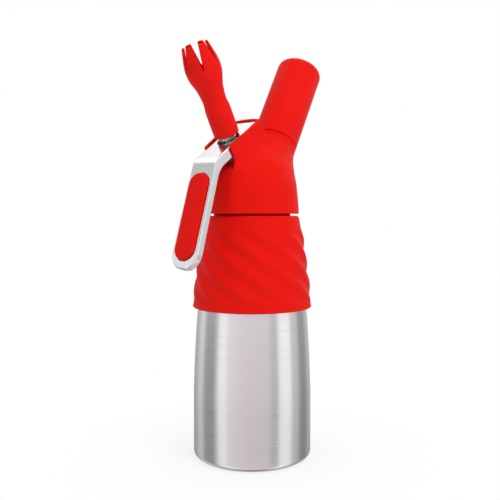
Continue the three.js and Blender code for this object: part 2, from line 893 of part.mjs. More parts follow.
// Two short ridges under the plate beside the stem's hole, down to the flange's top
function pressRidges(stemAt, channelHalf) {
  const flangeTop = new THREE.Vector3(0, 0, flangeLow + flangeThickness).applyMatrix4(valveFrame);
  flangeTop.applyMatrix4(hingeFrame.clone().invert());
  const low = flangeTop.z + clearance;
  const top = plateRise - plateThickness + bite;
  const outline = [
    [stemAt + pressRadius, top],
    [stemAt - pressRadius, top],
    ...arc([stemAt, low + pressRadius], [pressRadius, pressRadius], Math.PI, fullTurn, 6),
  ];
  const near = solid(slab(outline, -channelHalf - bite, -slotHalfWidth));
  return near.add(solid(slab(outline, slotHalfWidth, channelHalf + bite)));
}

function makePad() {
  const edge = padEdgeShares.map((shares) => shares.map((share) => share * padRise));
  const layers = [[0, clearance - padSink], ...edge];
  const rings = layers.map(([inset, height]) => {
    const outline = stadium(padStart + inset, padEnd - inset, padHalfWidth - inset, 8);
    return outline.map(([x, y]) => new THREE.Vector3(x, y, height));
  });
  return skinned(rings, false).applyMatrix4(legFrame());
}

// Charger, its port and its holder

const portThread = {
  root: portThreadRoot,
  depth: portThreadDepth,
  pitch: portThreadPitch,
  low: portThreadLow,
  turns: portThreadTurns,
  steps: 16,
};

function makePort() {
  const headPocket = piercerHeadRadius + clearance;
  const headTop = portLow + piercerHeadThickness + 2 * clearance;
  const flareRadius = chargerRadiusAt(portTop - noseTip) + clearance;
  return solid(turned([
    [headPocket, portLow],
    [portRadius, portLow],
    [portRadius, portFlangeLow],
    [portFlangeRadius, portFlangeLow],
    [portFlangeRadius, portFlangeTop],
    [portThreadRoot, portFlangeTop],
    [portThreadRoot, portTop],
    [flareRadius, portTop],
    [noseBore, portTop - flareHeight],
    [noseBore, portFloorTop],
    [piercerRadius + clearance, portFloorTop],
    [piercerRadius + clearance, headTop],
    [headPocket, headTop],
  ], 24)).add(threadOf(portThread));
}

function makePiercer() {
  const headLow = portLow + clearance;
  const headTop = headLow + piercerHeadThickness;
  const tip = noseTip + piercerReach;
  return turned([
    [piercerBore, headLow],
    [piercerHeadRadius, headLow],
    [piercerHeadRadius, headTop],
    [piercerRadius, headTop],
    [piercerRadius, tip - piercerPoint],
    [piercerBore + clearance / 2, tip],
    [piercerBore, tip],
  ], 14);
}

function chargerShoulder() {
  const start = noseLength;
  const reach = chargerRadius - noseRadius;
  return shoulderShares.map(([heightShare, radiusShare]) => [
    noseRadius + reach * radiusShare,
    start + shoulderLength * heightShare,
  ]);
}

function chargerRadiusAt(height) {
  return radiusAt(chargerShoulder(), height);
}

function makeCharger() {
  const endLow = chargerLength - chargerEnd;
  return turned([
    [0, pierceDepth],
    [pierceRadius, pierceDepth],
    [pierceRadius, 0],
    [noseRadius - noseEdge, 0],
    [noseRadius, noseEdge],
    ...chargerShoulder(),
    ...arc([0, endLow], [chargerRadius, chargerEnd], 0, Math.PI / 2, 4),
  ], 20).translate(0, 0, noseTip);
}

function makeCup() {
  const thread = portThreadRoot + clearance;
  const threadTop = portTop + 2 * clearance;
  return solid(turned([
    [0, cupCeiling],
    [cupInnerRadius, cupCeiling],
    [cupInnerRadius, threadTop],
    [thread, threadTop],
    [thread, holderLow],
    [cupRadius, holderLow],
    [cupRadius, cupTop],
    [0, cupTop],
  ], 24)).subtract(grooveFor(portThread));
}

function makeGrip() {
  const inner = cupRadius + clearance;
  return turned([
    [0, cupTop + clearance],
    [inner, cupTop + clearance],
    [inner, holderLow],
    [holderRadius, holderLow],
    ...arc([holderRadius - gripEdge, holderTop - gripEdge], [gripEdge, gripEdge], 0, Math.PI / 2, 5),
    [0, holderTop],
  ], 32);
}

// Nozzle

function makeNozzle() {
  const outside = nozzleShares.map(([lengthShare, radiusShare]) => [
    nozzleFoot * radiusShare,
    nozzleLength * lengthShare,
  ]);
  const inside = shifted(outside, -nozzleWall).slice(nozzleBoreStart).reverse();
  inside[0] = [outside[outside.length - 1][0] - nozzleWall, nozzleLength];
  const recess = adapterRadius + clearance;
  const recessTop = adapterTop + clearance - nozzleBase;
  const body = solid(turned([
    ...outside,
    ...inside,
    [collarRadius - clearance, recessTop + nozzleWall],
    [adapterHole + clearance, recessTop],
    [recess, recessTop],
    [recess, 0],
  ], 30));
  const reach = nozzleFoot * 2;
  const slotLow = nozzleLength - petalDepth;
  const wedge = [
    [0, slotLow],
    [petalWidth / 2, nozzleLength],
    [petalWidth / 2, nozzleLength + overrun],
    [-petalWidth / 2, nozzleLength + overrun],
    [-petalWidth / 2, nozzleLength],
  ];
  let cut = body;
  for (let i = 0; i < petalSlots; i += 1) {
    const turn = new THREE.Matrix4().makeRotationZ(petalPhase + (Math.PI * i) / petalSlots);
    cut = cut.subtract(moved(solid(slab(wedge, -reach, reach)), turn));
  }
  return geometryOf(cut).translate(0, 0, nozzleBase);
}

function makeAdapter() {
  const pocketLow = stemTop;
  const pocketTop = stemTop + nozzleSealThickness + 2 * clearance;
  const pocket = nozzleSealOuter + clearance;
  const collarTop = nozzleBase - clearance;
  return solid(turned([
    [adapterBore, adapterLow],
    [collarRadius, adapterLow],
    [collarRadius, collarTop],
    [adapterRadius, collarTop],
    [adapterRadius, adapterTop],
    [adapterHole, adapterTop],
    [adapterHole, pocketTop],
    [pocket, pocketTop],
    [pocket, pocketLow],
    [adapterBore, pocketLow],
  ], 20)).subtract(grooveFor(stemThread));
}

// The pieces, each in the frame that it is made in

addPiece(dispenser, 'bottle', makeBottle(), brushedSteel);
addPiece(dispenser, 'bottle_sleeve', makeSleeve(), redSilicone);
const gasketTop = gasketLow + gasketThickness;
const gasket = tube(gasketInner, gasketOuter, gasketLow, gasketTop, 32);
addPiece(dispenser, 'head_gasket', gasket, paleRubber);
addPiece(dispenser, 'head_core', makeHeadCore(), satinMetal);
addPiece(dispenser, 'head_cover', makeHeadCover(), redSilicone);

const stemGuide = stemRadius + clearance;
const bush = tube(stemGuide, springBore - clearance, bushLow, bushTop, 20);
const sealLow = flowTop + clearance;
const sealOuter = sealPocketRadius - clearance;
const washerTop = seatHeight - clearance;
const washerLow = washerTop - poppetThickness;
const nutTop = washerLow - clearance;
const tailGuide = stemTailRadius + clearance;
const nozzleSealLow = stemTop + clearance;
const nozzleSealTop = nozzleSealLow + nozzleSealThickness;
addPiece(valveGroup, 'guide_bush', bush, redPlastic);
const stemSeal = tube(stemGuide, sealOuter, sealLow, sealPocketTop - clearance, 20);
addPiece(valveGroup, 'stem_seal', stemSeal, blackRubber);
addPiece(valveGroup, 'valve_spring', makeSpring(), springSteel);
addPiece(valveGroup, 'valve_stem', makeStem(), polishedSteel);
const washer = tube(tailGuide, poppetRadius, washerLow, washerTop, 20);
addPiece(valveGroup, 'poppet_seal', washer, blackRubber);
addPiece(valveGroup, 'poppet_nut', makeNut(nutTop - nutThickness, nutTop), polishedSteel);
const sealRing = tube(stemTailRadius, nozzleSealOuter, nozzleSealLow, nozzleSealTop, 18);
addPiece(valveGroup, 'nozzle_seal', sealRing, paleRubber);
addPiece(valveGroup, 'nozzle_adapter', makeAdapter(), polishedSteel);
addPiece(valveGroup, 'nozzle', makeNozzle(), redPlastic);

const pinEnd = lugOuter - clearance;
const pin = rod(pinRadius, -pinEnd, pinEnd, 16).rotateX(Math.PI / 2);
addPiece(hingeGroup, 'lever_pin', pin, polishedSteel);
addPiece(hingeGroup, 'lever', makeLever(), satinMetal);
addPiece(hingeGroup, 'lever_pad', makePad(), redSilicone);

const portSealLow = portFloorTop + clearance;
const portSealTop = noseTip - clearance;
const checkInner = spigotRadius + clearance;
const checkOuter = checkInner + checkSleeveWall;
const ceilingAlong = (capCeiling - axesMeet) / Math.cos(chargerLean);
const checkTop = ceilingAlong - checkOuter * Math.tan(chargerLean) - clearance;
const cushionTop = cupCeiling - clearance;
addPiece(chargerGroup, 'charger_port', makePort(), polishedSteel);
addPiece(chargerGroup, 'piercing_pin', makePiercer(), polishedSteel);
const portSeal = tube(piercerRadius + clearance, portSealRadius, portSealLow, portSealTop, 18);
addPiece(chargerGroup, 'port_seal', portSeal, blackRubber);
const checkSleeve = tube(checkInner, checkOuter, spigotEnd, checkTop, 16);
addPiece(chargerGroup, 'check_sleeve', checkSleeve, blackRubber);
addPiece(chargerGroup, 'gas_charger', makeCharger(), polishedSteel);
const cushion = rod(cushionRadius, cushionTop - cushionThickness, cushionTop, 24);
addPiece(chargerGroup, 'holder_cushion', cushion, paleRubber);
addPiece(chargerGroup, 'holder_cup', makeCup(), satinMetal);
addPiece(chargerGroup, 'holder_grip', makeGrip(), redPlastic);

export default dispenser;
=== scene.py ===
# Whipped cream dispenser, in metres, +Z up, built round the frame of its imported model.
# The origin is the centre of the bottle's flat foot. +X points to the charger holder, and
# -X to the lever and the nozzle.

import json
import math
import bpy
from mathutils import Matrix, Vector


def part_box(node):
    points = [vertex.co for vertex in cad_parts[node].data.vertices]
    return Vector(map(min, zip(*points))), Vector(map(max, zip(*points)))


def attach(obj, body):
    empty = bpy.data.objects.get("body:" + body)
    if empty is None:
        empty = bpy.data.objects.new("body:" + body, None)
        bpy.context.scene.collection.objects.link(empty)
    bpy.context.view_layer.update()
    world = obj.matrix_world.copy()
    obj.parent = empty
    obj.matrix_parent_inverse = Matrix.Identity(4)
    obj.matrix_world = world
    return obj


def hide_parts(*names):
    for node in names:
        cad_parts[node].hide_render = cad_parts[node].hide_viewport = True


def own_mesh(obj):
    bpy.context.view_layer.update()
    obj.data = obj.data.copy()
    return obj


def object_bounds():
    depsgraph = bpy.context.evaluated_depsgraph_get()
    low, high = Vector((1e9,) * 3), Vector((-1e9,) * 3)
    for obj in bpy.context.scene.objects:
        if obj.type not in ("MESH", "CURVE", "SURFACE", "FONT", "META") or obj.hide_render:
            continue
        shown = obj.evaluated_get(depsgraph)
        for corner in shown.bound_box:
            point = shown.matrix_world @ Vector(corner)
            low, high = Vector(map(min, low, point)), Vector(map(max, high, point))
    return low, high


bl_info = {
    "name": "Whipped Cream Dispenser",
    "version": (1, 0, 0),
    "blender": (4, 5, 0),
    "location": "View3D > Sidebar > Dispenser",
    "description": "Builds the visible pieces of a whipped cream dispenser round its frame",
    "category": "Object",
}

import bmesh
import bpy
import numpy as np
from bpy.props import FloatProperty, FloatVectorProperty, IntProperty, PointerProperty
from mathutils import Matrix, Vector

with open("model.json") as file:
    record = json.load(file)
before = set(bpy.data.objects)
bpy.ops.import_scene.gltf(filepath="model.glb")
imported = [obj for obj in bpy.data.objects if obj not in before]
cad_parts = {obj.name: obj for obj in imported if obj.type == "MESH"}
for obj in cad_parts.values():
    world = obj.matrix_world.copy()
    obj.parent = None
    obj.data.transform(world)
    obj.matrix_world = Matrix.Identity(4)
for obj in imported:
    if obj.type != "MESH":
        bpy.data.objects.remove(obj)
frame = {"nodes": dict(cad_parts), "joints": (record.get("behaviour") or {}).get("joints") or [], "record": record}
cad_low, cad_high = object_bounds()
joints = {joint["name"]: joint for joint in frame["joints"]}

FULL_TURN = 2 * math.pi
MERGE_DISTANCE = 1e-7
SHARP_ANGLE = math.radians(35)  # edges sharper than this stay sharp
BOTTLE_SIDES = 180
SLEEVE_SIDES = 240
GRIP_SIDES = 128
COIL_STEPS = 220
WIRE_SIDES = 12
LINING_RINGS = 60
THREAD_STEPS = 16  # rings for each pitch of the neck's thread
FORM_GRIDS = {
    # piece: cell of the grid that its surface is found on, and the grid's margin round the piece
    "hooded_cover": (0.0008, 0.004),
    "squeeze_lever": (0.0006, 0.003),
    "thumb_pad": (0.0005, 0.003),
    "tulip_nozzle": (0.00055, 0.002),
}
SETTLE_ROUNDS = 3
LEAST_SLOPE = 0.1
LEAST_LENGTH = 1e-9
SLOPE_SHARE = 1 / 20  # share of a cell that a slope is measured over

# Sizes and colours that a user may change


def metres(name, description, default):
    return FloatProperty(name=name, description=description, default=default, unit="LENGTH")


def degrees(name, description, default):
    """An angle, whose default is written in degrees"""
    return FloatProperty(name=name, description=description, default=math.radians(default), unit="ROTATION")


def watts(name, description, default):
    return FloatProperty(name=name, description=description, default=default, unit="POWER")


def number(name, description, default):
    return FloatProperty(name=name, description=description, default=default)


def whole(name, description, default):
    return IntProperty(name=name, description=description, default=default)


def colour(name, description, default):
    """A colour, as linear values"""
    return FloatVectorProperty(
        name=name, description=description, default=default, subtype="COLOR", size=3, min=0, max=1
    )


class BottleSizes(bpy.types.PropertyGroup):
    """Sizes of the steel bottle"""

    wall: metres("Wall", "Thickness of the drawn steel", 0.0012)
    foot_radius: metres("Foot radius", "Radius of the flat foot", 0.0345)
    foot_corner: metres("Foot corner", "Height of the foot's round edge", 0.0045)
    shoulder: metres("Shoulder", "From the straight belly's end to the neck's base", 0.119)
    neck_height: metres("Neck height", "From the neck's base to the rim", 0.022)
    neck_root: metres("Neck radius", "Outer radius between the thread's turns", 0.025)
    neck_wall: metres("Neck wall", "Thickness of the neck", 0.0018)
    thread_depth: metres("Thread depth", "Height of the thread's ridge", 0.0014)
    thread_pitch: metres("Thread pitch", "Rise of the thread in one turn", 0.0055)
    thread_rise: metres("Thread start", "From the neck's base to the first turn", 0.006)
    thread_turns: number("Thread turns", "Turns of the thread", 2)


class SleeveSizes(bpy.types.PropertyGroup):
    """Sizes of the swirled sleeve"""

    wall: metres("Wall", "Thickness that the sleeve's shares are of", 0.0033)
    lip_wall: metres("Lip wall", "Thickness at the rounded lip", 0.0036)
    top_wall: metres("Top wall", "Reach of the top from the neck", 0.0073)
    edge: metres("Edge", "Rounding of the lip and of the top edge", 0.0012)
    gap: metres("Gap", "Gap between the sleeve and the bottle", 0.0003)
    flutes: whole("Flutes", "Number of flutes round the sleeve", 10)
    flute_rise: metres("Flute rise", "Rise of a ridge over the mean surface", 0.0007)
    flute_spacing: metres("Flute spacing", "From ridge to ridge up the side", 0.0158)
    flute_phase: degrees("Flute phase", "Turn of the whole pattern", 171.8873)
    collar_wall: metres("Collar wall", "Thickness of the rim round the neck", 0.0014)
    collar_rise: metres("Collar rise", "Rise of that rim over the sleeve's top", 0.0017)


class CoverSizes(bpy.types.PropertyGroup):
    """Sizes of the red skin of the head"""

    radius: metres("Radius", "Radius of the skirt", 0.0324)
    crown_rise: metres("Crown", "From the bottle's neck base to the dome's top", 0.047)
    wall: metres("Wall", "Thickness at the skirt", 0.0029)
    boss_radius: metres("Boss radius", "Radius of the charger's boss", 0.0164)
    boss_bore: metres("Boss bore", "Radius of the bore in that boss", 0.0129)
    seam: metres("Seam", "Where the boss ends, along its axis", 0.0519)
    valve_bore: metres("Valve bore", "Radius of the opening round the valve", 0.0088)
    chin_radius: metres("Chin radius", "Radius of the wall under the hood", 0.0334)
    chin_half: metres("Chin half width", "Half the width of that wall", 0.013)
    chin_edge: metres("Chin edge", "Rounding of that wall's side edges", 0.006)
    chin_blend: metres("Chin blend", "Radius from that wall to the dome", 0.008)
    hood_half: metres("Hood half width", "Half the hood's width at the pin", 0.014)
    hood_taper: metres("Hood taper", "How much narrower each side is at the front", 0.0015)
    slot_half: metres("Slot half width", "Half the width of the lever's slot", 0.0103)
    hood_edge: metres("Hood edge", "Height of the hood's rim over the pin", 0.0057)
    hood_front: metres("Hood front", "Reach of the hood's sides to the front", 0.0303)
    hood_sill: metres("Hood sill", "Reach of the hood's sill to the front", 0.0325)
    sill_rise: metres("Sill rise", "From the sill to where the sides run straight up", 0.004)
    hood_floor: metres("Slot floor", "Drop from the pin to the slot's floor", 0.0088)
    hood_rear: metres("Hood rear", "Reach of the hood to the rear", 0.0088)
    rear_foot: metres("Rear foot", "Reach of the rear wall's foot", 0.0082)
    rear_drop: metres("Rear drop", "Drop of the rear wall's foot", 0.0066)
    rear_wall: metres("Rear wall", "Thickness of the rear wall", 0.0022)
    rear_crown: metres("Rear crown", "How far the rear wall bows out between its sides", 0.0025)
    slot_crown: metres("Slot crown", "How far the slot's rear bows out", 0.0010)
    root_depth: metres("Root depth", "Depth of the hood in the dome", 0.026)
    hood_blend: metres("Hood blend", "Radius from the hood to the dome", 0.007)
    boss_blend: metres("Boss blend", "Radius from the boss to the dome", 0.013)
    cheek_edge: metres("Cheek edge", "Rounding of the hood's rear edges", 0.003)
    front_edge: metres("Front edge", "Rounding of the hood's front edges", 0.004)
    rim_edge: metres("Rim edge", "Rounding of the hood's rim", 0.0007)


class LeverSizes(bpy.types.PropertyGroup):
    """Sizes of the squeeze lever and its pad, from the hinge pin"""

    lean: degrees("Lean", "How much more the plate leans than the valve", 4.5)
    half_width: metres("Half width", "Half the lever's width", 0.010)
    cheek: metres("Cheek", "Thickness of a cheek", 0.0018)
    plate: metres("Plate", "Thickness of the top plate", 0.002)
    rise: metres("Rise", "Outer face of the plate over the pin", 0.0047)
    rear: metres("Rear", "Reach behind the pin", 0.0054)
    front: metres("Front", "From the pin to the corner of the faces", 0.0444)
    leg: metres("Leg", "Length of the leg from that corner", 0.0721)
    flare: metres("Flare", "How much wider each side is at the leg's end", 0.0011)
    bend: degrees("Bend", "Angle between plate and leg", 38)
    bend_radius: metres("Bend radius", "Radius of the bend's outer face", 0.009)
    inner_radius: metres("Inner radius", "Radius of the cheeks' lower edge at the bend", 0.016)
    depth: metres("Depth", "Depth of the cheeks along the plate", 0.0078)
    end_depth: metres("End depth", "Depth of the cheeks along the leg", 0.0062)
    taper: metres("Taper", "The cheeks deepen from here to the pin", 0.012)
    eye_radius: metres("Eye radius", "Radius of the cheek round the pin", 0.0045)
    pin_hole: metres("Pin hole", "Radius of the pin's hole", 0.0019)
    edge: metres("Edge", "Rounding of the outer edges", 0.0012)
    hole_half: metres("Hole half width", "Half width of the stem's hole", 0.0068)
    hole_front: metres("Hole front", "Run of the hole before the stem", 0.0016)
    hole_rear: metres("Hole rear", "Run of the hole behind the stem", 0.0016)
    stem_reach: metres("Stem reach", "From the pin to the stem's axis", 0.0165)
    flange_top: metres("Flange top", "Top of the stem's flange on the valve's axis", 0.0472)
    ridge: metres("Ridge", "Radius of the ridges that push the flange", 0.0012)
    pad_start: metres("Pad start", "Start of the pad down the leg", 0.0089)
    pad_end: metres("Pad end", "End of the pad down the leg", 0.0664)
    pad_half: metres("Pad half width", "Half the pad's width", 0.0079)
    pad_rise: metres("Pad rise", "Rise of the pad over the leg", 0.0021)
    pad_sink: metres("Pad sink", "Depth of the pad's pocket", 0.0008)
    pad_crown: metres("Pad crown", "Fall from the pad's middle to its edge", 0.0004)
    pad_edge: metres("Pad edge", "Rounding of the pad's edge", 0.0009)


class NozzleSizes(bpy.types.PropertyGroup):
    """Sizes of the petalled nozzle and its bore, along the valve's axis"""

    base: metres("Base", "Where the nozzle starts", 0.0534)
    length: metres("Length", "Length of the nozzle", 0.062)
    foot: metres("Foot radius", "Outer radius at the base", 0.0085)
    wall: metres("Wall", "Thickness of the nozzle's wall", 0.002)
    edge: metres("Edge", "Rounding of the edges", 0.0005)
    petal_depth: metres("Petal depth", "Depth of the slots", 0.017)
    petal_width: metres("Slot width", "Width of a slot at the tip", 0.0046)
    petal_phase: degrees("Petal phase", "Turn of the slots", 12)
    slot_cuts: whole("Slot cuts", "Cuts through the tip, two slots each", 3)
    throat: metres("Throat", "Radius of the bore over the adapter", 0.0057)
    adapter: metres("Adapter radius", "Radius of the adapter in the nozzle", 0.0056)
    adapter_top: metres("Adapter top", "Top of the adapter", 0.0634)
    hole: metres("Hole", "Radius of the hole through the adapter", 0.0026)
    gap: metres("Gap", "Gap round the adapter", 0.0003)


class HolderSizes(bpy.types.PropertyGroup):
    """Sizes of the charger holder's grip, along the charger's axis"""

    low: metres("Low", "Where the grip starts", 0.0523)
    length: metres("Length", "Length of the grip", 0.0659)
    radius: metres("Radius", "Outer radius", 0.0164)
    wall: metres("Wall", "Thickness of the grip", 0.0021)
    edge: metres("Edge", "Rounding of the end", 0.005)
    rim: metres("Rim", "Rounding of the open rim", 0.0004)


class SpringSizes(bpy.types.PropertyGroup):
    """Sizes of the valve's spring, along the valve's axis"""

    low: metres("Low", "Middle of the wire at the foot", 0.0297)
    high: metres("High", "Middle of the wire at the top", 0.0442)
    coil: metres("Coil", "Radius of the coil at the wire's middle", 0.005)
    wire: metres("Wire", "Radius of the wire", 0.0007)
    turns: number("Turns", "Turns of the coil", 6)


class FinishColours(bpy.types.PropertyGroup):
    """Colours of the finishes, as linear values"""

    silicone: colour("Silicone", "Red of the sleeve, the cover and the pad", (0.86, 0.0082, 0.0042))
    plastic: colour("Plastic", "Red of the nozzle and the holder", (0.88, 0.0088, 0.0048))
    steel: colour("Brushed steel", "Tint of the bottle", (0.79, 0.775, 0.785))
    satin: colour("Satin metal", "Tint of the lever, the cap and the holder's cup", (0.90, 0.885, 0.895))
    polished: colour("Polished steel", "Tint of the small metal pieces", (0.50, 0.50, 0.50))
    pale_rubber: colour("Pale rubber", "Colour of the gasket and the cushion", (0.68, 0.66, 0.60))
    black_rubber: colour("Black rubber", "Colour of the small seals", (0.020, 0.020, 0.022))


class StudioSettings(bpy.types.PropertyGroup):
    """The camera, the lamps and the floor"""

    camera_turn: degrees("Camera turn", "Side that the camera stands on", -141)
    camera_distance: metres("Camera distance", "From the bottle's axis", 0.485)
    camera_height: metres("Camera height", "Over the floor", 0.1665)
    camera_pitch: degrees("Camera pitch", "Tilt of the camera down", 0.85)
    lens: number("Lens", "Focal length in millimetres on a 36 mm sensor", 50.23)
    shift_x: number("Shift across", "Share of the frame's width", -0.0042)
    shift_y: number("Shift up", "Share of the frame's width", -0.0497)
    ambient: number("Ambient", "Level of the light from all round", 0.46)
    overhead: number("Overhead", "Level of the light overhead", 1.0)
    key_power: watts("Key power", "Power of the main lamp", 7.2)
    fill_power: watts("Fill power", "Power of the lamp on the left", 1.25)
    floor_radius: metres("Floor radius", "Radius of the round floor", 6.0)


class DispenserSettings(bpy.types.PropertyGroup):
    """Everything about the dispenser that a user may change"""

    bottle: PointerProperty(type=BottleSizes)
    sleeve: PointerProperty(type=SleeveSizes)
    cover: PointerProperty(type=CoverSizes)
    lever: PointerProperty(type=LeverSizes)
    nozzle: PointerProperty(type=NozzleSizes)
    holder: PointerProperty(type=HolderSizes)
    spring: PointerProperty(type=SpringSizes)
    colours: PointerProperty(type=FinishColours)
    studio: PointerProperty(type=StudioSettings)


# Shares that outlines are drawn with

FLANK_SHARES = (
    # share of the height from belly to neck, share of the radius between neck and belly
    (0.0, 1.0), (0.1, 0.975), (0.24, 0.93), (0.39, 0.865), (0.52, 0.78),
    (0.7, 0.665), (0.82, 0.56), (0.91, 0.42), (0.965, 0.25), (1.0, 0.0),
)
SLEEVE_SHARES = (
    # share of the height, share of the wall that stands out from the bottle's flank
    (0.0, 1.02), (0.08, 1.015), (0.19, 0.975), (0.3, 0.91), (0.41, 0.81), (0.52, 0.775),
    (0.63, 0.715), (0.74, 0.8), (0.85, 0.945), (0.93, 1.295), (1.0, 2.265),
)
FLUTE_FADE_SHARES = (0.05, 0.16, 0.74, 0.92)  # the flutes rise and fade between these heights
COVER_SHARES = (
    # share of the height, share of the radius
    (-0.1, 1.0), (0.0, 1.0), (0.07, 0.997), (0.2, 0.985), (0.32, 0.967), (0.45, 0.938),
    (0.56, 0.885), (0.69, 0.81), (0.82, 0.69), (0.94, 0.44), (1.0, 0.0), (1.0, -0.5),
)
NOZZLE_SHARES = (
    # share of the length, share of the foot's radius
    (0.0, 0.975), (0.016, 1.0), (0.273, 1.0), (0.327, 0.965), (0.388, 0.92), (0.46, 0.965),
    (0.534, 1.05), (0.605, 1.205), (0.666, 1.335), (0.716, 1.375), (0.766, 1.385), (0.837, 1.31),
    (0.929, 1.15), (1.0, 1.02),
)
NOZZLE_BORE_SHARE = 0.5  # the inner wall follows the outer one from this share of the length
THREAD_SHARES = (
    # of the pitch: half the ridge's foot, and one flank; of a turn: where an end starts, and its run-in
    0.3, 0.15, 0.02, 0.1,
)
HOOD_FAIRING = (
    # the hood's lower rear edge runs into the boss: metres back from the pin, metres down
    (0.0094, 0.0109), (0.0124, 0.0156), (0.0200, 0.0227),
)

# The studio's light, and where its lamps and its floor are

STUDIO_CARDS = (
    # degrees round from the camera, level of the light that comes from there
    (-170, 0.55), (-148, 0.50), (-134, 0.62), (-125, 0.84), (-114, 0.80), (-105, 0.42), (-82, 0.38),
    (-75, 0.64), (-67, 1.22), (-55, 1.22), (-47, 1.0), (-20, 0.91), (10, 0.85), (31, 0.86),
    (42.5, 0.60), (49, 0.58), (56.5, 1.22), (79, 1.26), (86, 0.70), (97.5, 0.72), (102.5, 0.62),
    (108, 0.37), (126, 0.35), (142, 0.60), (165, 0.60),
)
FRONT_CARD = (-50, 32)  # the card behind the camera, between these degrees, is faintly pink
FRONT_TINT_SHARES = (1.0, 0.925, 0.965)
LOWER_LEVELS = (
    # share of the way from straight down to straight up, level of the cards seen that way
    (0.0, 0.35), (0.03, 0.6), (0.08, 1.0), (0.22, 0.98), (0.30, 0.66), (0.355, 0.74),
    (0.42, 0.94), (0.47, 1.0),
)
UPPER_LEVELS = (
    # the same share, level of the light overhead
    (0.60, 0.85), (0.68, 0.88), (0.735, 0.50), (0.78, 0.60), (0.815, 0.80), (0.83, 0.92), (0.85, 1.3),
    (0.87, 1.7), (1.0, 1.3),
)
UPWARD_SHARES = (0.51, 0.60)  # between these the light overhead takes over from the cards
LAMPS = {
    # name: degrees round from the camera; distance from the axis, height and side in metres
    "key_lamp": (35, 0.85, 0.95, 0.7),
    "fill_lamp": (-75, 1.0, 0.55, 0.8),
}
SENSOR_WIDTH = 36  # millimetres
CLIP = (0.01, 50)
FLOOR_DROP = 0.0002  # from the bottle's foot to the floor
FLOOR_SIDES = 96
FLOOR_GLOW = (
    # metres from the middle, share of the plain white in what is seen of the floor
    (0.03, 0.75), (0.07, 0.92), (0.14, 1.0),
)
WHITE = (1, 1, 1, 1)

# Frames of the valve, the charger and the lever's hinge


def frame_of(axis, place):
    """A frame at a place, with z along the axis and y across the dispenser"""
    up = Vector(axis).normalized()
    across = Vector((0, 1, 0))
    matrix = Matrix((across.cross(up), across, up)).transposed().to_4x4()
    matrix.translation = place
    return matrix


def leaning_frame(joint):
    """The frame of a leaning joint, where its axis crosses the bottle's"""
    place, axis = Vector(joint["pos_m"]), Vector(joint["axis"])
    return frame_of(axis, (0, 0, place.z - place.x * axis.z / axis.x))


valve_frame = leaning_frame(joints["nozzle_turn"])
charger_frame = leaning_frame(joints["holder_turn"])


def hinge_frame(sizes):
    """The frame of the lever's pin: x runs back along the top plate, z is square to it"""
    lean = Matrix.Rotation(-sizes.lean, 3, "Y")
    up = lean @ valve_frame.to_3x3().col[2]
    return frame_of(up, joints["lever_pivot"]["pos_m"])


def leg_frame(sizes):
    """The frame of the leg's outer face: x runs down the leg, z points out of the face"""
    up = Vector((-math.sin(sizes.bend), 0, math.cos(sizes.bend)))
    down = Vector((-math.cos(sizes.bend), 0, -math.sin(sizes.bend)))
    leg = Matrix((down, up.cross(down), up)).transposed().to_4x4()
    leg.translation = (-sizes.front, 0, sizes.rise)
    return hinge_frame(sizes) @ leg


# Paths and outlines


def flowing(points, steps):
    """A smooth path through points, with some steps between each two"""
    ends = [points[0], *points, points[-1]]
    path = []
    for i in range(len(points) - 1):
        before, here, there, after = (np.array(point, float) for point in ends[i : i + 4])
        for share in np.arange(steps) / steps:
            curve = 2 * here + (there - before) * share
            curve += (2 * before - 5 * here + 4 * there - after) * share**2
            curve += (3 * here - before - 3 * there + after) * share**3
            path.append(tuple(curve / 2))
    path.append(tuple(points[-1]))
    return path


def shifted(path, distance):
    """A path moved square to itself, to its right where the distance is positive"""
    points = np.array(path)
    run = np.gradient(points, axis=0)
    run /= np.linalg.norm(run, axis=1, keepdims=True)
    return points + distance * np.stack([run[:, 1], -run[:, 0]], axis=1)


def arc(centre, radius, start, end, steps):
    """Points on an arc, from one angle to another"""
    angles = np.linspace(start, end, steps + 1)
    return [(centre[0] + radius * math.cos(a), centre[1] + radius * math.sin(a)) for a in angles]


def smoothstep(value, low, high):
    share = np.clip((value - low) / (high - low), 0, 1)
    return share * share * (3 - 2 * share)


# Meshes


def new_object(name, points, faces):
    mesh = bpy.data.meshes.new(name)
    mesh.from_pydata([tuple(point) for point in points], [], [tuple(face) for face in faces])
    mesh.update()
    obj = bpy.data.objects.new(name, mesh)
    bpy.context.scene.collection.objects.link(obj)
    return obj


def close_up(obj):
    """Merges doubled corners, turns the faces out and smooths all but the sharp edges"""
    work = bmesh.new()
    work.from_mesh(obj.data)
    bmesh.ops.remove_doubles(work, verts=work.verts, dist=MERGE_DISTANCE)
    bmesh.ops.dissolve_degenerate(work, edges=work.edges, dist=MERGE_DISTANCE)
    bmesh.ops.recalc_face_normals(work, faces=work.faces)
    work.to_mesh(obj.data)
    work.free()
    obj.data.shade_smooth()
    obj.data.set_sharp_from_angle(angle=SHARP_ANGLE)
    return obj


def ring_mesh(name, rings, looped):
    """A mesh skinned over rings of points: a closed loop of rings, or one that ends on the axis"""
    rings = np.asarray(rings, float)
    count, size = rings.shape[:2]
    here = np.arange(size)
    after = (here + 1) % size
    faces = []
    for i in range(count if looped else count - 1):
        start, end = i * size, (i + 1) % count * size
        faces.append(np.stack([start + here, start + after, end + after, end + here], axis=1))
    return close_up(new_object(name, rings.reshape(-1, 3), np.concatenate(faces)))


def turned_rings(profile, sides, rise=None):
    """Rings round Z for a profile of radius and height, with an added radius where rise gives one"""
    angles = np.arange(sides) * FULL_TURN / sides
    rings = []
    for radius, height in profile:
        reach = np.full(sides, float(radius))
        if rise is not None and radius > 0:
            reach = reach + rise(angles, height, radius)
        ring = [reach * np.cos(angles), reach * np.sin(angles), np.full(sides, height)]
        rings.append(np.stack(ring, axis=1))
    return rings


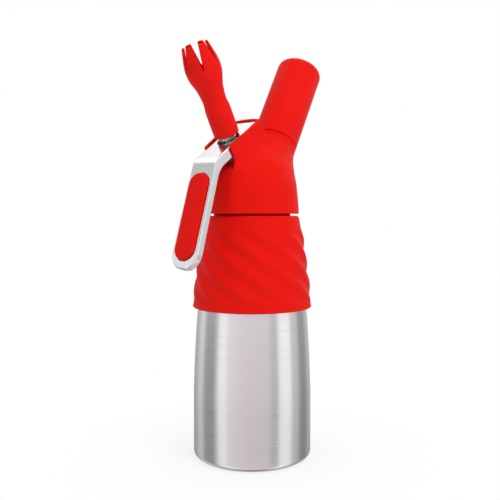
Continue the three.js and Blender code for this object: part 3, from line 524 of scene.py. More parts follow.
def thread_rise(angles, height, low, pitch, depth, turns):
    """How far a right-hand thread stands out at a height, for each angle"""
    half, flank, past, run_in = THREAD_SHARES
    share = (angles / FULL_TURN) % 1
    along = (height - low) / pitch
    turn = np.round(along - share) + share
    ridge = np.clip((half - np.abs(along - turn)) / flank, 0, 1)
    ends = smoothstep(turn, -past, run_in) * (1 - smoothstep(turn, turns - run_in, turns + past))
    return depth * ridge * ends


# Forms given by their signed distance, negative inside


def outline_field(x, y, outline):
    """Distance to a closed outline"""
    nearest = np.full(x.shape, np.inf)
    inside = np.zeros(x.shape, bool)
    for (ax, ay), (bx, by) in zip(outline, [*outline[1:], outline[0]]):
        run_x, run_y = bx - ax, by - ay
        from_x, from_y = x - ax, y - ay
        share = np.clip((from_x * run_x + from_y * run_y) / (run_x**2 + run_y**2), 0, 1)
        gap = (from_x - run_x * share) ** 2 + (from_y - run_y * share) ** 2
        np.minimum(nearest, gap, out=nearest)
        if run_y:
            inside ^= ((ay > y) != (by > y)) & (from_x < from_y * run_x / run_y)
    return np.sqrt(nearest) * np.where(inside, -1, 1)


def meet(first, second, radius):
    """What two forms share, with its edge rounded"""
    a, b = first + radius, second + radius
    return np.minimum(np.maximum(a, b), 0) + np.hypot(np.maximum(a, 0), np.maximum(b, 0)) - radius


def join(first, second, radius):
    """Both forms together, with a fillet between them"""
    return -meet(-first, -second, radius)


def cut(form, tool, radius):
    """A form less a tool, with the edge of the cut rounded"""
    return meet(form, -tool, radius)


def turned_form(outline):
    return lambda p: outline_field(np.hypot(p[:, 0], p[:, 1]), p[:, 2], outline)


def rod_form(radius, low, high):
    return lambda p: np.maximum(
        np.hypot(p[:, 0], p[:, 1]) - radius, np.maximum(low - p[:, 2], p[:, 2] - high)
    )


def long_hole(x, y, start, end, radius):
    """Distance to a long hole with round ends at start and end"""
    past = x - np.clip(x, start + radius, end - radius)
    return np.hypot(past, y) - radius


def placed(form, matrix):
    """A form in a frame of its own, asked at points of the dispenser's frame"""
    inverse = np.array(matrix.inverted())
    return lambda p: form(p @ inverse[:3, :3].T + inverse[:3, 3])


def slope_of(form, points, step):
    slope = np.empty_like(points)
    for axis in range(3):
        offset = np.zeros(3)
        offset[axis] = step
        slope[:, axis] = (form(points + offset) - form(points - offset)) / (2 * step)
    return slope


def settled(form, points, cell):
    """Points moved onto the form's surface"""
    for _ in range(SETTLE_ROUNDS):
        slope = slope_of(form, points, cell * SLOPE_SHARE)
        steep = np.maximum((slope**2).sum(axis=1), LEAST_SLOPE)
        points = points - slope * np.clip(form(points) / steep, -cell, cell)[:, None]
    return points


def net_cells(values, grid, cell):
    """Mean crossing point of each cell that the surface passes through, and the cells' numbers"""
    shape = [count - 1 for count in values.shape]
    total = np.zeros([*shape, 3])
    found = np.zeros(shape, int)
    for axis in range(3):
        near = np.moveaxis(values, axis, 0)[:-1]
        far = np.moveaxis(values, axis, 0)[1:]
        crossed = (near < 0) != (far < 0)
        share = np.where(crossed, near / np.where(crossed, near - far, 1), 0)
        place = np.moveaxis(grid, axis, 0)[:-1].copy()
        place[..., axis] += share * cell
        place *= crossed[..., None]
        _, wide, deep = crossed.shape
        for u in (0, 1):
            for v in (0, 1):
                window = (slice(None), slice(u, wide - 1 + u), slice(v, deep - 1 + v))
                total += np.moveaxis(place[window], 0, axis)
                found += np.moveaxis(crossed[window], 0, axis)
    used = found > 0
    index = np.full(shape, -1)
    index[used] = np.arange(used.sum())
    return total[used] / found[used][:, None], index


def net_faces(values, index):
    """Quads round each grid edge that the surface crosses"""
    faces = []
    for axis in range(3):
        near = np.moveaxis(values, axis, 0)[:-1]
        far = np.moveaxis(values, axis, 0)[1:]
        crossed = (near < 0) != (far < 0)
        crossed[:, [0, -1], :] = False
        crossed[:, :, [0, -1]] = False
        where = np.argwhere(crossed)
        cells = np.moveaxis(index, axis, 0)
        i, j, k = where.T
        quads = np.stack([cells[i, j - u, k - v] for u, v in ((1, 1), (0, 1), (0, 0), (1, 0))], axis=1)
        leaving = near[tuple(where.T)] < 0
        turned = leaving if axis != 1 else ~leaving
        faces.append(np.where(turned[:, None], quads, quads[:, ::-1]))
    return np.concatenate(faces)


def form_mesh(name, form, low, high):
    """A mesh on the surface of a form inside a box"""
    cell, margin = FORM_GRIDS[name]
    cell *= 1
    starts = [bottom - margin for bottom in low]
    spans = [top + margin - start for start, top in zip(starts, high)]
    counts = [int(math.ceil(span / cell)) + 1 for span in spans]
    lines = [start + cell * np.arange(count) for start, count in zip(starts, counts)]
    grid = np.stack(np.meshgrid(*lines, indexing="ij"), axis=-1)
    values = form(grid.reshape(-1, 3)).reshape(counts)
    points, index = net_cells(values, grid, cell)
    faces = net_faces(values, index)
    here, after = faces.ravel(), np.roll(faces, -1, axis=1).ravel()
    neighbours = np.bincount(here, minlength=len(points))[:, None]
    points = settled(form, points, cell)
    for _ in range(SETTLE_ROUNDS):
        total = np.stack([np.bincount(here, points[after, i], len(points)) for i in range(3)], axis=1)
        points = settled(form, points + (total / neighbours - points) / 2, cell)
    obj = new_object(name, points, faces)
    obj.data.shade_smooth()
    slope = slope_of(form, points, cell * SLOPE_SHARE)
    normals = slope / np.maximum(np.linalg.norm(slope, axis=1, keepdims=True), LEAST_LENGTH)
    obj.data.normals_split_custom_set_from_vertices(normals.tolist())
    return obj


# Materials

NOISE_SHARES = (0.3, 0.7)  # a noise seldom leaves these
GRAIN_HEIGHT = 0.00006
BRUSH_HEIGHT = 0.00003
SATIN_HEIGHT = 0.00002


class Finish:
    """A material with its shader, and short ways to add nodes to it"""

    def __init__(self, name):
        self.material = bpy.data.materials.new(name)
        self.material.use_nodes = True
        self.tree = self.material.node_tree
        self.shader = self.tree.nodes["Principled BSDF"]

    def node(self, kind, **values):
        made = self.tree.nodes.new(kind)
        for key, value in values.items():
            setattr(made, key, value)
        return made

    def link(self, source, target):
        self.tree.links.new(source, target)

    def places(self, scale):
        """Places on the object, stretched by a scale along each axis"""
        coordinates = self.node("ShaderNodeTexCoord")
        mapping = self.node("ShaderNodeMapping")
        mapping.inputs["Scale"].default_value = scale
        self.link(coordinates.outputs["Object"], mapping.inputs["Vector"])
        return mapping.outputs["Vector"]

    def noise(self, vector, scale, detail):
        made = self.node("ShaderNodeTexNoise")
        made.inputs["Scale"].default_value = scale
        made.inputs["Detail"].default_value = detail
        self.link(vector, made.inputs["Vector"])
        return made.outputs["Fac"]

    def ramp(self, factor, stops):
        made = self.node("ShaderNodeValToRGB")
        elements = made.color_ramp.elements
        while len(elements) < len(stops):
            elements.new(0.5)
        for element, (place, value) in zip(elements, stops):
            element.position = place
            element.color = (*value, 1) if hasattr(value, "__len__") else (value, value, value, 1)
        self.link(factor, made.inputs["Fac"])
        return made.outputs["Color"]

    def between(self, noise, low, high):
        """Values or colours that a noise goes between"""
        return self.ramp(noise, list(zip(NOISE_SHARES, (low, high))))

    def bump(self, height, strength, distance):
        made = self.node("ShaderNodeBump")
        made.inputs["Strength"].default_value = strength
        made.inputs["Distance"].default_value = distance
        self.link(height, made.inputs["Height"])
        self.link(made.outputs["Normal"], self.shader.inputs["Normal"])

    def set(self, **values):
        for key, value in values.items():
            self.shader.inputs[key.replace("_", " ")].default_value = value


def shaded(colour_value, share):
    return tuple(channel * share for channel in colour_value)


def moulded_finish(name, tint, roughness, specular, grain):
    """Moulded silicone or plastic: an even colour with slight clouds and a fine grain"""
    made = Finish(name)
    plain = made.places((1, 1, 1))
    clouds = made.noise(plain, scale=45, detail=2)
    made.link(made.between(clouds, shaded(tint, 0.95), tint), made.shader.inputs["Base Color"])
    patches = made.noise(plain, scale=500, detail=2)
    made.link(made.between(patches, roughness - 0.04, roughness + 0.04), made.shader.inputs["Roughness"])
    made.bump(made.noise(plain, scale=2600, detail=3), strength=grain, distance=GRAIN_HEIGHT)
    made.shader.inputs["Specular IOR Level"].default_value = specular
    return made.material


def brushed_finish(name, tint, roughness):
    """Steel brushed round the bottle's axis"""
    made = Finish(name)
    strokes = made.noise(made.places((8, 8, 5200)), scale=1, detail=4)
    broad = made.noise(made.places((9, 9, 900)), scale=1, detail=2)
    tone = made.ramp(strokes, [(0.25, shaded(tint, 0.965)), (0.75, shaded(tint, 1.02))])
    made.link(tone, made.shader.inputs["Base Color"])
    made.link(made.between(broad, roughness - 0.03, roughness + 0.04), made.shader.inputs["Roughness"])
    made.bump(strokes, strength=0.08, distance=BRUSH_HEIGHT)
    tangent = made.node("ShaderNodeTangent", direction_type="RADIAL", axis="Z")
    made.link(tangent.outputs["Tangent"], made.shader.inputs["Tangent"])
    made.set(Metallic=1, Anisotropic=0.75, Anisotropic_Rotation=0.25)
    return made.material


def metal_finish(name, tint, roughness, stretch=(1, 1, 1)):
    """Satin or polished metal with faint strokes"""
    made = Finish(name)
    strokes = made.noise(made.places(stretch), scale=900, detail=3)
    clouds = made.noise(made.places((1, 1, 1)), scale=60, detail=2)
    made.link(made.between(clouds, shaded(tint, 0.96), tint), made.shader.inputs["Base Color"])
    made.link(made.between(strokes, roughness - 0.03, roughness + 0.03), made.shader.inputs["Roughness"])
    made.bump(strokes, strength=0.12, distance=SATIN_HEIGHT)
    made.set(Metallic=1)
    return made.material


FINISHES = {
    # record's slot: maker, colour, roughness, and what else the maker takes
    "red_silicone": (moulded_finish, "silicone", 0.50, 0.08, 0.25),
    "red_plastic": (moulded_finish, "plastic", 0.42, 0.09, 0.18),
    "brushed_steel": (brushed_finish, "steel", 0.24),
    "satin_metal": (metal_finish, "satin", 0.19, (1, 12, 1)),
    "polished_steel": (metal_finish, "polished", 0.30),
    "pale_rubber": (moulded_finish, "pale_rubber", 0.70, 0.30, 0.30),
    "black_rubber": (moulded_finish, "black_rubber", 0.65, 0.40, 0.30),
}


def finish(slot):
    """The material of a slot, made when it is first asked for"""
    found = bpy.data.materials.get("finish_" + slot)
    if found:
        return found
    maker, tint, *values = FINISHES[slot]
    colours = bpy.context.scene.dispenser.colours
    return maker("finish_" + slot, tuple(getattr(colours, tint)), *values)


def settle_piece(obj, body, slot, *nodes):
    """Gives a piece its finish and its body, and hides the nodes that it stands for"""
    obj.data.materials.clear()
    obj.data.materials.append(finish(slot))
    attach(obj, body)
    if nodes:
        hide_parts(*nodes)
    return obj


# Bottle and sleeve


def neck_base(sizes):
    """Height where the shoulder ends and the neck starts"""
    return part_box("bottle")[1].z - sizes.neck_height


def bottle_flank(sizes, radius):
    """The bottle's side from the belly to the neck, as radius and height"""
    points = []
    for height, reach in FLANK_SHARES:
        points.append((
            sizes.neck_root + (radius - sizes.neck_root) * reach,
            neck_base(sizes) - sizes.shoulder * (1 - height),
        ))
    return flowing(points, 8)


def lip_edge(sizes):
    """Radius that the neck's rim is rounded with"""
    return sizes.neck_wall / 4


def bottle_outside(sizes, low, high):
    """The foot's round edge and the flank"""
    corner = np.array(arc((0, 0), 1, -math.pi / 2, 0, 14))
    foot = corner * (high.x - sizes.foot_radius, sizes.foot_corner)
    foot += (sizes.foot_radius, low.z + sizes.foot_corner)
    return [*map(tuple, foot), *bottle_flank(sizes, high.x)]


def bottle_inside(sizes, outside, low):
    """The inner side, a wall's thickness behind the outer one, up to the neck's bore"""
    inside = [tuple(point) for point in shifted(outside, -sizes.wall)]
    inside[0] = (sizes.foot_radius, low.z + sizes.wall)
    return [point for point in inside if point[0] > sizes.neck_root - sizes.neck_wall]


def bottle_neck(sizes, rim):
    """The neck's outer side, its rounded rim and its bore"""
    base, edge = neck_base(sizes), lip_edge(sizes)
    bore = sizes.neck_root - sizes.neck_wall
    heights = np.arange(base, rim - edge, sizes.thread_pitch / THREAD_STEPS)[1:]
    return [
        *((sizes.neck_root, height) for height in heights),
        *arc((sizes.neck_root - edge, rim - edge), edge, 0, math.pi / 2, 4),
        *arc((bore + edge, rim - edge), edge, math.pi / 2, math.pi, 4),
        (bore, base),
    ]


class DISPENSER_OT_bottle(bpy.types.Operator):
    """Builds the brushed steel bottle with its threaded neck"""

    bl_idname = "dispenser.bottle"
    bl_label = "Bottle"
    bl_options = {"REGISTER", "UNDO"}

    def execute(self, context):
        sizes = context.scene.dispenser.bottle
        low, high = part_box("bottle")
        outside = bottle_outside(sizes, low, high)
        inside = bottle_inside(sizes, outside, low)
        neck = bottle_neck(sizes, high.z)
        profile = [(0, low.z), *outside, *neck, *reversed(inside), (0, low.z + sizes.wall)]
        start = neck_base(sizes) + sizes.thread_rise

        def rise(angles, height, reach):
            on_neck = abs(reach - sizes.neck_root) < lip_edge(sizes) / 4 and height > neck_base(sizes)
            depth = sizes.thread_depth if on_neck else 0
            return thread_rise(angles, height, start, sizes.thread_pitch, depth, sizes.thread_turns)

        bottle = ring_mesh("steel_bottle", turned_rings(profile, BOTTLE_SIDES, rise), False)
        settle_piece(bottle, "bottle", "brushed_steel", "bottle")
        return {"FINISHED"}


def radius_at(path, height):
    """Radius of a path, given as radius and height, at a height"""
    return np.interp(height, path[:, 1], path[:, 0])


def sleeve_outside(sizes, flank, low, high):
    """The sleeve's outer side between its rounded lip and its rounded top"""
    points = []
    for share, wall in SLEEVE_SHARES:
        height = low.z + (high.z - low.z) * share
        points.append((radius_at(flank, height) + sizes.wall * wall, height))
    lip = min(radius_at(flank, low.z) + sizes.lip_wall, high.y) - sizes.edge
    top = radius_at(flank, high.z) + sizes.top_wall - sizes.edge
    start, end = low.z + sizes.edge, high.z - sizes.edge
    return [
        *arc((lip, start), sizes.edge, -math.pi / 2, 0, 6),
        *(point for point in flowing(points, 10) if start < point[1] < end),
        *arc((top, end), sizes.edge, 0, math.pi / 2, 6),
    ]


def sleeve_inside(sizes, flank, low, high):
    """The rim round the neck, and the lining that lies on the bottle"""
    inner = np.array(shifted(flank, sizes.gap))
    lining = [(radius_at(inner, height), height) for height in np.linspace(high.z, low.z, LINING_RINGS)]
    neck, half = lining[0][0], sizes.collar_wall / 2
    crest = (neck + half, high.z + sizes.collar_rise - half)
    return [(neck + sizes.collar_wall, high.z), *arc(crest, half, 0, math.pi, 8), *lining]


class DISPENSER_OT_sleeve(bpy.types.Operator):
    """Builds the red sleeve with its swirl of flutes"""

    bl_idname = "dispenser.sleeve"
    bl_label = "Sleeve"
    bl_options = {"REGISTER", "UNDO"}

    def execute(self, context):
        sizes = context.scene.dispenser.sleeve
        low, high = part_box("bottle_sleeve")
        flank = np.array(bottle_flank(context.scene.dispenser.bottle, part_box("bottle")[1].x))
        profile = [*sleeve_outside(sizes, flank, low, high), *sleeve_inside(sizes, flank, low, high)]

        def rise(angles, height, reach):
            if reach < radius_at(flank, height) + sizes.edge:
                return np.zeros_like(angles)
            fade_in, full, drop, end = FLUTE_FADE_SHARES
            share = (height - low.z) / (high.z - low.z)
            fade = smoothstep(share, fade_in, full) * (1 - smoothstep(share, drop, end))
            climb = FULL_TURN * (height - low.z) / sizes.flute_spacing
            return sizes.flute_rise * fade * np.cos(sizes.flutes * angles + climb + sizes.flute_phase)

        sleeve = ring_mesh("swirled_sleeve", turned_rings(profile, SLEEVE_SIDES, rise), True)
        settle_piece(sleeve, "bottle", "red_silicone", "bottle_sleeve")
        return {"FINISHED"}


# Head


def rear_lean(sizes):
    """How far the hood's rear wall leans back for its height"""
    return (sizes.hood_rear - sizes.rear_foot) / (sizes.hood_edge + sizes.rear_drop)


def hood_outline(sizes):
    """The hood's side, open at the top, round the pin"""
    above = sizes.hood_edge + 2 * sizes.hood_blend
    return [
        (-sizes.hood_front, above),
        (sizes.hood_rear + rear_lean(sizes) * (above - sizes.hood_edge), above),
        (sizes.rear_foot, -sizes.rear_drop),
        *((back, -down) for back, down in HOOD_FAIRING),
        (0, -sizes.hood_floor - sizes.root_depth),
        (-sizes.hood_sill, -sizes.hood_floor - sizes.hood_blend),
        (-sizes.hood_sill, -sizes.hood_floor),
        (-sizes.hood_front, sizes.sill_rise - sizes.hood_floor),
    ]


def hood_form(sizes):
    """The hood's block: narrower at the front, with a rear wall that bows out"""
    outline = hood_outline(sizes)

    def form(p):
        x, y, z = p.T
        ahead = np.clip(-x / sizes.hood_front, 0, 1)
        behind = smoothstep(x, -sizes.hood_rear, 0)
        side = outline_field(x + behind * sizes.rear_crown * (y / sizes.hood_half) ** 2, z, outline)
        edge = sizes.cheek_edge + (sizes.front_edge - sizes.cheek_edge) * ahead
        return meet(side, np.abs(y) - sizes.hood_half + sizes.hood_taper * ahead, edge)

    return form


def slot_form(sizes):
    """The slot that the lever lies in, open at the top and at the front"""
    above = sizes.hood_edge + 3 * sizes.hood_blend
    past = sizes.hood_sill + 2 * sizes.hood_blend
    lean = rear_lean(sizes)
    foot = sizes.rear_foot - sizes.rear_wall - (sizes.hood_floor - sizes.rear_drop) * lean
    outline = [
        (-past, -sizes.hood_floor),
        (foot, -sizes.hood_floor),
        (sizes.hood_rear - sizes.rear_wall + (above - sizes.hood_edge) * lean, above),
        (-past, above),
    ]

    def form(p):
        x, y, z = p.T
        behind = smoothstep(x, -sizes.hood_rear, 0)
        side = outline_field(x + behind * sizes.slot_crown * (y / sizes.slot_half) ** 2, z, outline)
        return meet(side, np.abs(y) - sizes.slot_half, sizes.rim_edge)

    return form


def dome_outlines(sizes, low, rise):
    """The dome's outer and inner outline, both run past the axis and past the skirt's end"""
    outer = flowing([(sizes.radius * reach, low + rise * share) for share, reach in COVER_SHARES], 4)
    inner = [(reach - sizes.wall, height - sizes.wall) for reach, height in outer]
    inner[0] = (inner[0][0], low - rise)
    return [*outer, (-sizes.radius, low - rise / 5)], [*inner, (-sizes.radius, low - rise)]


def chin_outline(sizes, low, rise, sill):
    """The wall under the hood, which leans out from the skirt to the sill"""
    return [
        (-sizes.radius, low - rise), (sizes.radius, low - rise), (sizes.radius, low),
        (sizes.chin_radius, sill), (-sizes.radius, sill),
    ]


def cover_form(sizes, base, low, hinge):
    """The red skin: a dome, the charger's boss and the hood, open for the lever and the core"""
    rise = base + sizes.crown_rise - low
    dome, hollow = (turned_form(outline) for outline in dome_outlines(sizes, low, rise))
    boss = placed(rod_form(sizes.boss_radius, 0, sizes.seam), charger_frame)
    gas_bore = placed(rod_form(sizes.boss_bore, 0, 2 * sizes.seam), charger_frame)
    valve_bore = placed(rod_form(sizes.valve_bore, 0, sizes.seam), valve_frame)
    hood = placed(hood_form(sizes), hinge)
    slot = placed(slot_form(sizes), hinge)
    rim = placed(lambda p: p[:, 2] - sizes.hood_edge, hinge)
    sill = (hinge @ Vector((-sizes.hood_sill, 0, -sizes.hood_floor))).z
    chin = turned_form(chin_outline(sizes, low, rise, sill))

    def form(p):
        front = meet(chin(p), np.maximum(np.abs(p[:, 1]) - sizes.chin_half, p[:, 0]), sizes.chin_edge)
        body = join(dome(p), boss(p), sizes.boss_blend)
        body = join(body, front, sizes.chin_blend)
        body = join(body, meet(hood(p), rim(p), sizes.rim_edge), sizes.hood_blend)
        for tool in (slot, hollow, gas_bore, valve_bore):
            body = cut(body, tool(p), sizes.rim_edge)
        return meet(body, low - p[:, 2], sizes.rim_edge)

    return form


class DISPENSER_OT_head_cover(bpy.types.Operator):
    """Builds the red skin of the head with its hood and its boss"""

    bl_idname = "dispenser.head_cover"
    bl_label = "Head cover"
    bl_options = {"REGISTER", "UNDO"}

    def execute(self, context):
        settings = context.scene.dispenser
        low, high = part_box("head_cover")
        form = cover_form(settings.cover, neck_base(settings.bottle), low.z, hinge_frame(settings.lever))
        cover = form_mesh("hooded_cover", form, low, high)
        settle_piece(cover, "head", "red_silicone", "head_cover")
        return {"FINISHED"}


# Lever and its pad


def lever_path(sizes, depth, leg_depth, radius, rear):
    """The lever's bent side at depths under its plate and its leg, from the pin to the leg's end"""
    cos, sin = math.cos(sizes.bend), math.sin(sizes.bend)
    corner = sin * leg_depth - cos * (depth - cos * leg_depth) / sin - sizes.front
    centre = (corner + radius * math.tan(sizes.bend / 2), sizes.rise - depth - radius)
    bend = arc(centre, radius, math.pi / 2, math.pi / 2 + sizes.bend, 12)
    end = (
        -sizes.front - cos * sizes.leg + sin * leg_depth,
        sizes.rise - sin * sizes.leg - cos * leg_depth,
    )
    return [(rear, sizes.rise - depth), *bend, end]


def lever_side(sizes):
    """The lever seen from the side, with the round of the pin's eye"""
    outer = lever_path(sizes, 0, 0, sizes.bend_radius, sizes.rear)
    lower = lever_path(sizes, sizes.depth, sizes.end_depth, sizes.inner_radius, -sizes.taper)[::-1]
    eye = arc((0, 0), sizes.eye_radius, -math.pi / 2, 0, 10)
    return [*outer, *lower, *eye, (sizes.rear, sizes.eye_radius / 2)]


def lever_channel(sizes):
    """The room between the cheeks seen from the side, open below"""
    past, deep = sizes.rear + sizes.bend_radius, 2 * sizes.bend_radius
    under = lever_path(sizes, sizes.plate, sizes.plate, sizes.bend_radius - sizes.plate, past)
    leg_end = lever_path(sizes, deep, deep, sizes.edge, past)[-1]
    return [*under, leg_end, (-sizes.front, -deep), (past, -deep)]


def lever_plan(sizes, q, inset):
    """Distance to the lever's outline seen along the leg's face, in the leg's frame"""
    half = sizes.half_width + sizes.flare * np.clip(q[:, 0] / sizes.leg, 0, 1)
    end = sizes.leg - sizes.half_width - sizes.flare
    past_end = np.maximum(q[:, 0] - end, 0)
    return np.hypot(past_end, q[:, 1]) - half + inset


def flange_ridges(sizes, hinge):
    """The two ridges under the plate, beside the stem's hole, that push its flange"""
    stem = -sizes.stem_reach * math.cos(sizes.lean)
    low = (hinge.inverted() @ valve_frame @ Vector((0, 0, sizes.flange_top))).z + sizes.ridge / 4
    inner_half = sizes.half_width - sizes.cheek

    def form(p):
        x, y, z = p.T
        ridge = np.hypot(x - stem, np.maximum(low + sizes.ridge - z, 0)) - sizes.ridge
        ridge = np.maximum(ridge, z - sizes.rise + sizes.plate / 2)
        beside = np.abs(np.abs(y) - (sizes.hole_half + inner_half) / 2)
        return np.maximum(ridge, beside - (inner_half - sizes.hole_half))

    return form


def lever_form(sizes, hinge, leg):
    """The bent channel, with its hole for the stem, its pocket for the pad and its pin's hole"""
    side, channel = lever_side(sizes), lever_channel(sizes)
    ridges = flange_ridges(sizes, hinge)
    to_leg = np.array(leg.inverted() @ hinge)
    stem = -sizes.stem_reach * math.cos(sizes.lean)
    hole_start = stem - sizes.hole_front - sizes.hole_half
    hole_end = stem + sizes.hole_rear + sizes.hole_half
    gap = sizes.edge / 4
    pad_start, pad_end = sizes.pad_start - gap, sizes.pad_end + gap

    def form(p):
        x, y, z = p.T
        q = p @ to_leg[:3, :3].T + to_leg[:3, 3]
        body = meet(outline_field(x, z, side), lever_plan(sizes, q, 0), sizes.edge)
        hollow = meet(outline_field(x, z, channel), lever_plan(sizes, q, sizes.cheek), sizes.edge / 2)
        body = join(cut(body, hollow, sizes.edge / 4), ridges(p), sizes.edge / 4)
        body = cut(body, long_hole(x, y, hole_start, hole_end, sizes.hole_half), sizes.edge / 3)
        pocket = long_hole(q[:, 0], q[:, 1], pad_start, pad_end, sizes.pad_half + gap)
        body = cut(body, np.maximum(pocket, -sizes.pad_sink - q[:, 2]), gap)
        return cut(body, np.hypot(x, z) - sizes.pin_hole, gap)

    return form


def pad_form(sizes):
    """The pad on the leg's outer face, with a round edge and a low crown"""

    def form(p):
        edge = long_hole(p[:, 0], p[:, 1], sizes.pad_start, sizes.pad_end, sizes.pad_half)
        fall = sizes.pad_crown * np.clip(1 + edge / sizes.pad_half, 0, 2) ** 2
        top = p[:, 2] - sizes.pad_rise + fall
        bottom = -sizes.pad_sink + sizes.edge / 4 - p[:, 2]
        return np.maximum(meet(edge, top, sizes.pad_edge), bottom)

    return form


class DISPENSER_OT_lever(bpy.types.Operator):
    """Builds the squeeze lever and the red pad in its outer face"""

    bl_idname = "dispenser.lever"
    bl_label = "Lever"
    bl_options = {"REGISTER", "UNDO"}

    def execute(self, context):
        sizes = context.scene.dispenser.lever
        hinge, leg = hinge_frame(sizes), leg_frame(sizes)
        reach = sizes.front + sizes.leg * math.cos(sizes.bend)
        drop = sizes.leg * math.sin(sizes.bend) + sizes.depth
        start = [-reach, -sizes.half_width, sizes.rise - drop]
        end = [sizes.rear, sizes.half_width, sizes.rise]
        lever = form_mesh("squeeze_lever", lever_form(sizes, hinge, leg), start, end)
        lever.data.transform(hinge)
        settle_piece(lever, "lever", "satin_metal", "lever")
        start = [sizes.pad_start, -sizes.pad_half, -sizes.pad_sink]
        end = [sizes.pad_end, sizes.pad_half, sizes.pad_rise]
        pad = form_mesh("thumb_pad", pad_form(sizes), start, end)
        pad.data.transform(leg)
        settle_piece(pad, "lever", "red_silicone", "lever_pad")
        return {"FINISHED"}


# Nozzle


def nozzle_form(sizes):
    """The tulip nozzle, turned and cut into petals, from its base up"""
    points = [(sizes.foot * reach, sizes.length * share) for share, reach in NOZZLE_SHARES]
    outside = flowing(points, 5)
    inner = shifted(outside, -sizes.wall)
    inside = [tuple(p) for p in inner if p[1] > sizes.length * NOZZLE_BORE_SHARE]
    inside.append((outside[-1][0] - sizes.wall, sizes.length))
    recess = sizes.adapter + sizes.gap
    recess_top = sizes.adapter_top + sizes.gap - sizes.base
    outline = [
        *outside,
        *reversed(inside),
        (sizes.throat, recess_top + sizes.wall),
        (sizes.hole + sizes.gap, recess_top),
        (recess, recess_top),
        (recess, 0),
    ]
    slot_low = sizes.length - sizes.petal_depth
    turns = [sizes.petal_phase + math.pi * i / sizes.slot_cuts for i in range(sizes.slot_cuts)]

    def form(p):
        body = outline_field(np.hypot(p[:, 0], p[:, 1]), p[:, 2], outline)
        half = sizes.petal_width / 2 * (p[:, 2] - slot_low) / sizes.petal_depth
        for turn in turns:
            across = np.abs(p[:, 0] * math.cos(turn) + p[:, 1] * math.sin(turn))
            body = cut(body, across - half, sizes.edge)
        return body

    return form


class DISPENSER_OT_nozzle(bpy.types.Operator):
    """Builds the petalled nozzle, with the bore for the metal adapter in its foot"""

    bl_idname = "dispenser.nozzle"
    bl_label = "Nozzle"
    bl_options = {"REGISTER", "UNDO"}

    def execute(self, context):
        sizes = context.scene.dispenser.nozzle
        wide = sizes.foot * max(reach for _, reach in NOZZLE_SHARES)
        start, end = [-wide, -wide, 0], [wide, wide, sizes.length]
        nozzle = form_mesh("tulip_nozzle", nozzle_form(sizes), start, end)
        nozzle.data.transform(valve_frame @ Matrix.Translation((0, 0, sizes.base)))
        settle_piece(nozzle, "nozzle", "red_plastic", "nozzle")
        return {"FINISHED"}


# Charger holder


class DISPENSER_OT_holder(bpy.types.Operator):
    """Builds the red grip of the charger holder"""

    bl_idname = "dispenser.holder"
    bl_label = "Charger holder"
    bl_options = {"REGISTER", "UNDO"}

    def execute(self, context):
        sizes = context.scene.dispenser.holder
        top = sizes.low + sizes.length
        inner = sizes.radius - sizes.wall
        rim, edge = sizes.rim, sizes.edge
        profile = [
            (0, top - sizes.wall),
            (inner, top - sizes.wall),
            *arc((inner + rim, sizes.low + rim), rim, math.pi, 1.5 * math.pi, 4),
            *arc((sizes.radius - rim, sizes.low + rim), rim, -math.pi / 2, 0, 4),
            *arc((sizes.radius - edge, top - edge), edge, 0, math.pi / 2, 12),
            (0, top),
        ]
        grip = ring_mesh("holder_sleeve", turned_rings(profile, GRIP_SIDES), False)
        grip.data.transform(charger_frame)
        settle_piece(grip, "holder", "red_plastic", "holder_grip")
        return {"FINISHED"}


# Spring


class DISPENSER_OT_spring(bpy.types.Operator):
    """Winds the valve's spring at its length with the valve shut, though the real spring shortens as the valve
    opens
    """

    bl_idname = "dispenser.spring"
    bl_label = "Valve spring"
    bl_options = {"REGISTER", "UNDO"}

    def execute(self, context):
        sizes = context.scene.dispenser.spring
        rings = []
        for i in range(COIL_STEPS + 1):
            share = i / COIL_STEPS
            angle = FULL_TURN * sizes.turns * share
            outward = Vector((math.cos(angle), math.sin(angle), 0))
            centre = outward * sizes.coil + Vector((0, 0, sizes.low + (sizes.high - sizes.low) * share))
            ring = []
            for j in range(WIRE_SIDES):
                turn = FULL_TURN * j / WIRE_SIDES
                reach = outward * math.cos(turn) + Vector((0, 0, math.sin(turn)))
                ring.append(centre + reach * sizes.wire)
            rings.append(ring)
        ends = [[sum(ring, Vector()) / WIRE_SIDES] * WIRE_SIDES for ring in (rings[0], rings[-1])]
        spring = ring_mesh("valve_coil", [ends[0], *rings, ends[1]], False)
        spring.data.transform(valve_frame)
        settle_piece(spring, "head", "polished_steel", "valve_spring")
        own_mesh(spring)
        return {"FINISHED"}


# Pieces that keep the shape of their nodes


class DISPENSER_OT_inner_parts(bpy.types.Operator):
    """Gives the cap, the valve, the seals and the gas parts their finishes"""

    bl_idname = "dispenser.inner_parts"
    bl_label = "Inner parts"
    bl_options = {"REGISTER", "UNDO"}

    def execute(self, context):
        slots = {part["node"]: part["material_slot"] for part in frame["record"]["subparts"]}
        for name, obj in frame["nodes"].items():
            if not obj.hide_render:
                obj.material_slots[0].material = finish(slots[name])
        return {"FINISHED"}


# Camera, lamps, floor and background


def card_stops(turn):
    """The studio's cards as stops of a ramp over one turn, from the direction of -X"""
    stops = []
    for angle, level in STUDIO_CARDS:
        tint = FRONT_TINT_SHARES if FRONT_CARD[0] < angle < FRONT_CARD[1] else (1, 1, 1)
        stops.append(((math.degrees(turn) + angle + 180) % 360 / 360, shaded(tint, level)))
    stops.sort()
    (first, start), (last, end) = stops[0], stops[-1]
    seam = tuple(np.interp(0, [last - 1, first], pair) for pair in zip(end, start))
    return [(0, seam), *stops, (1, seam)]


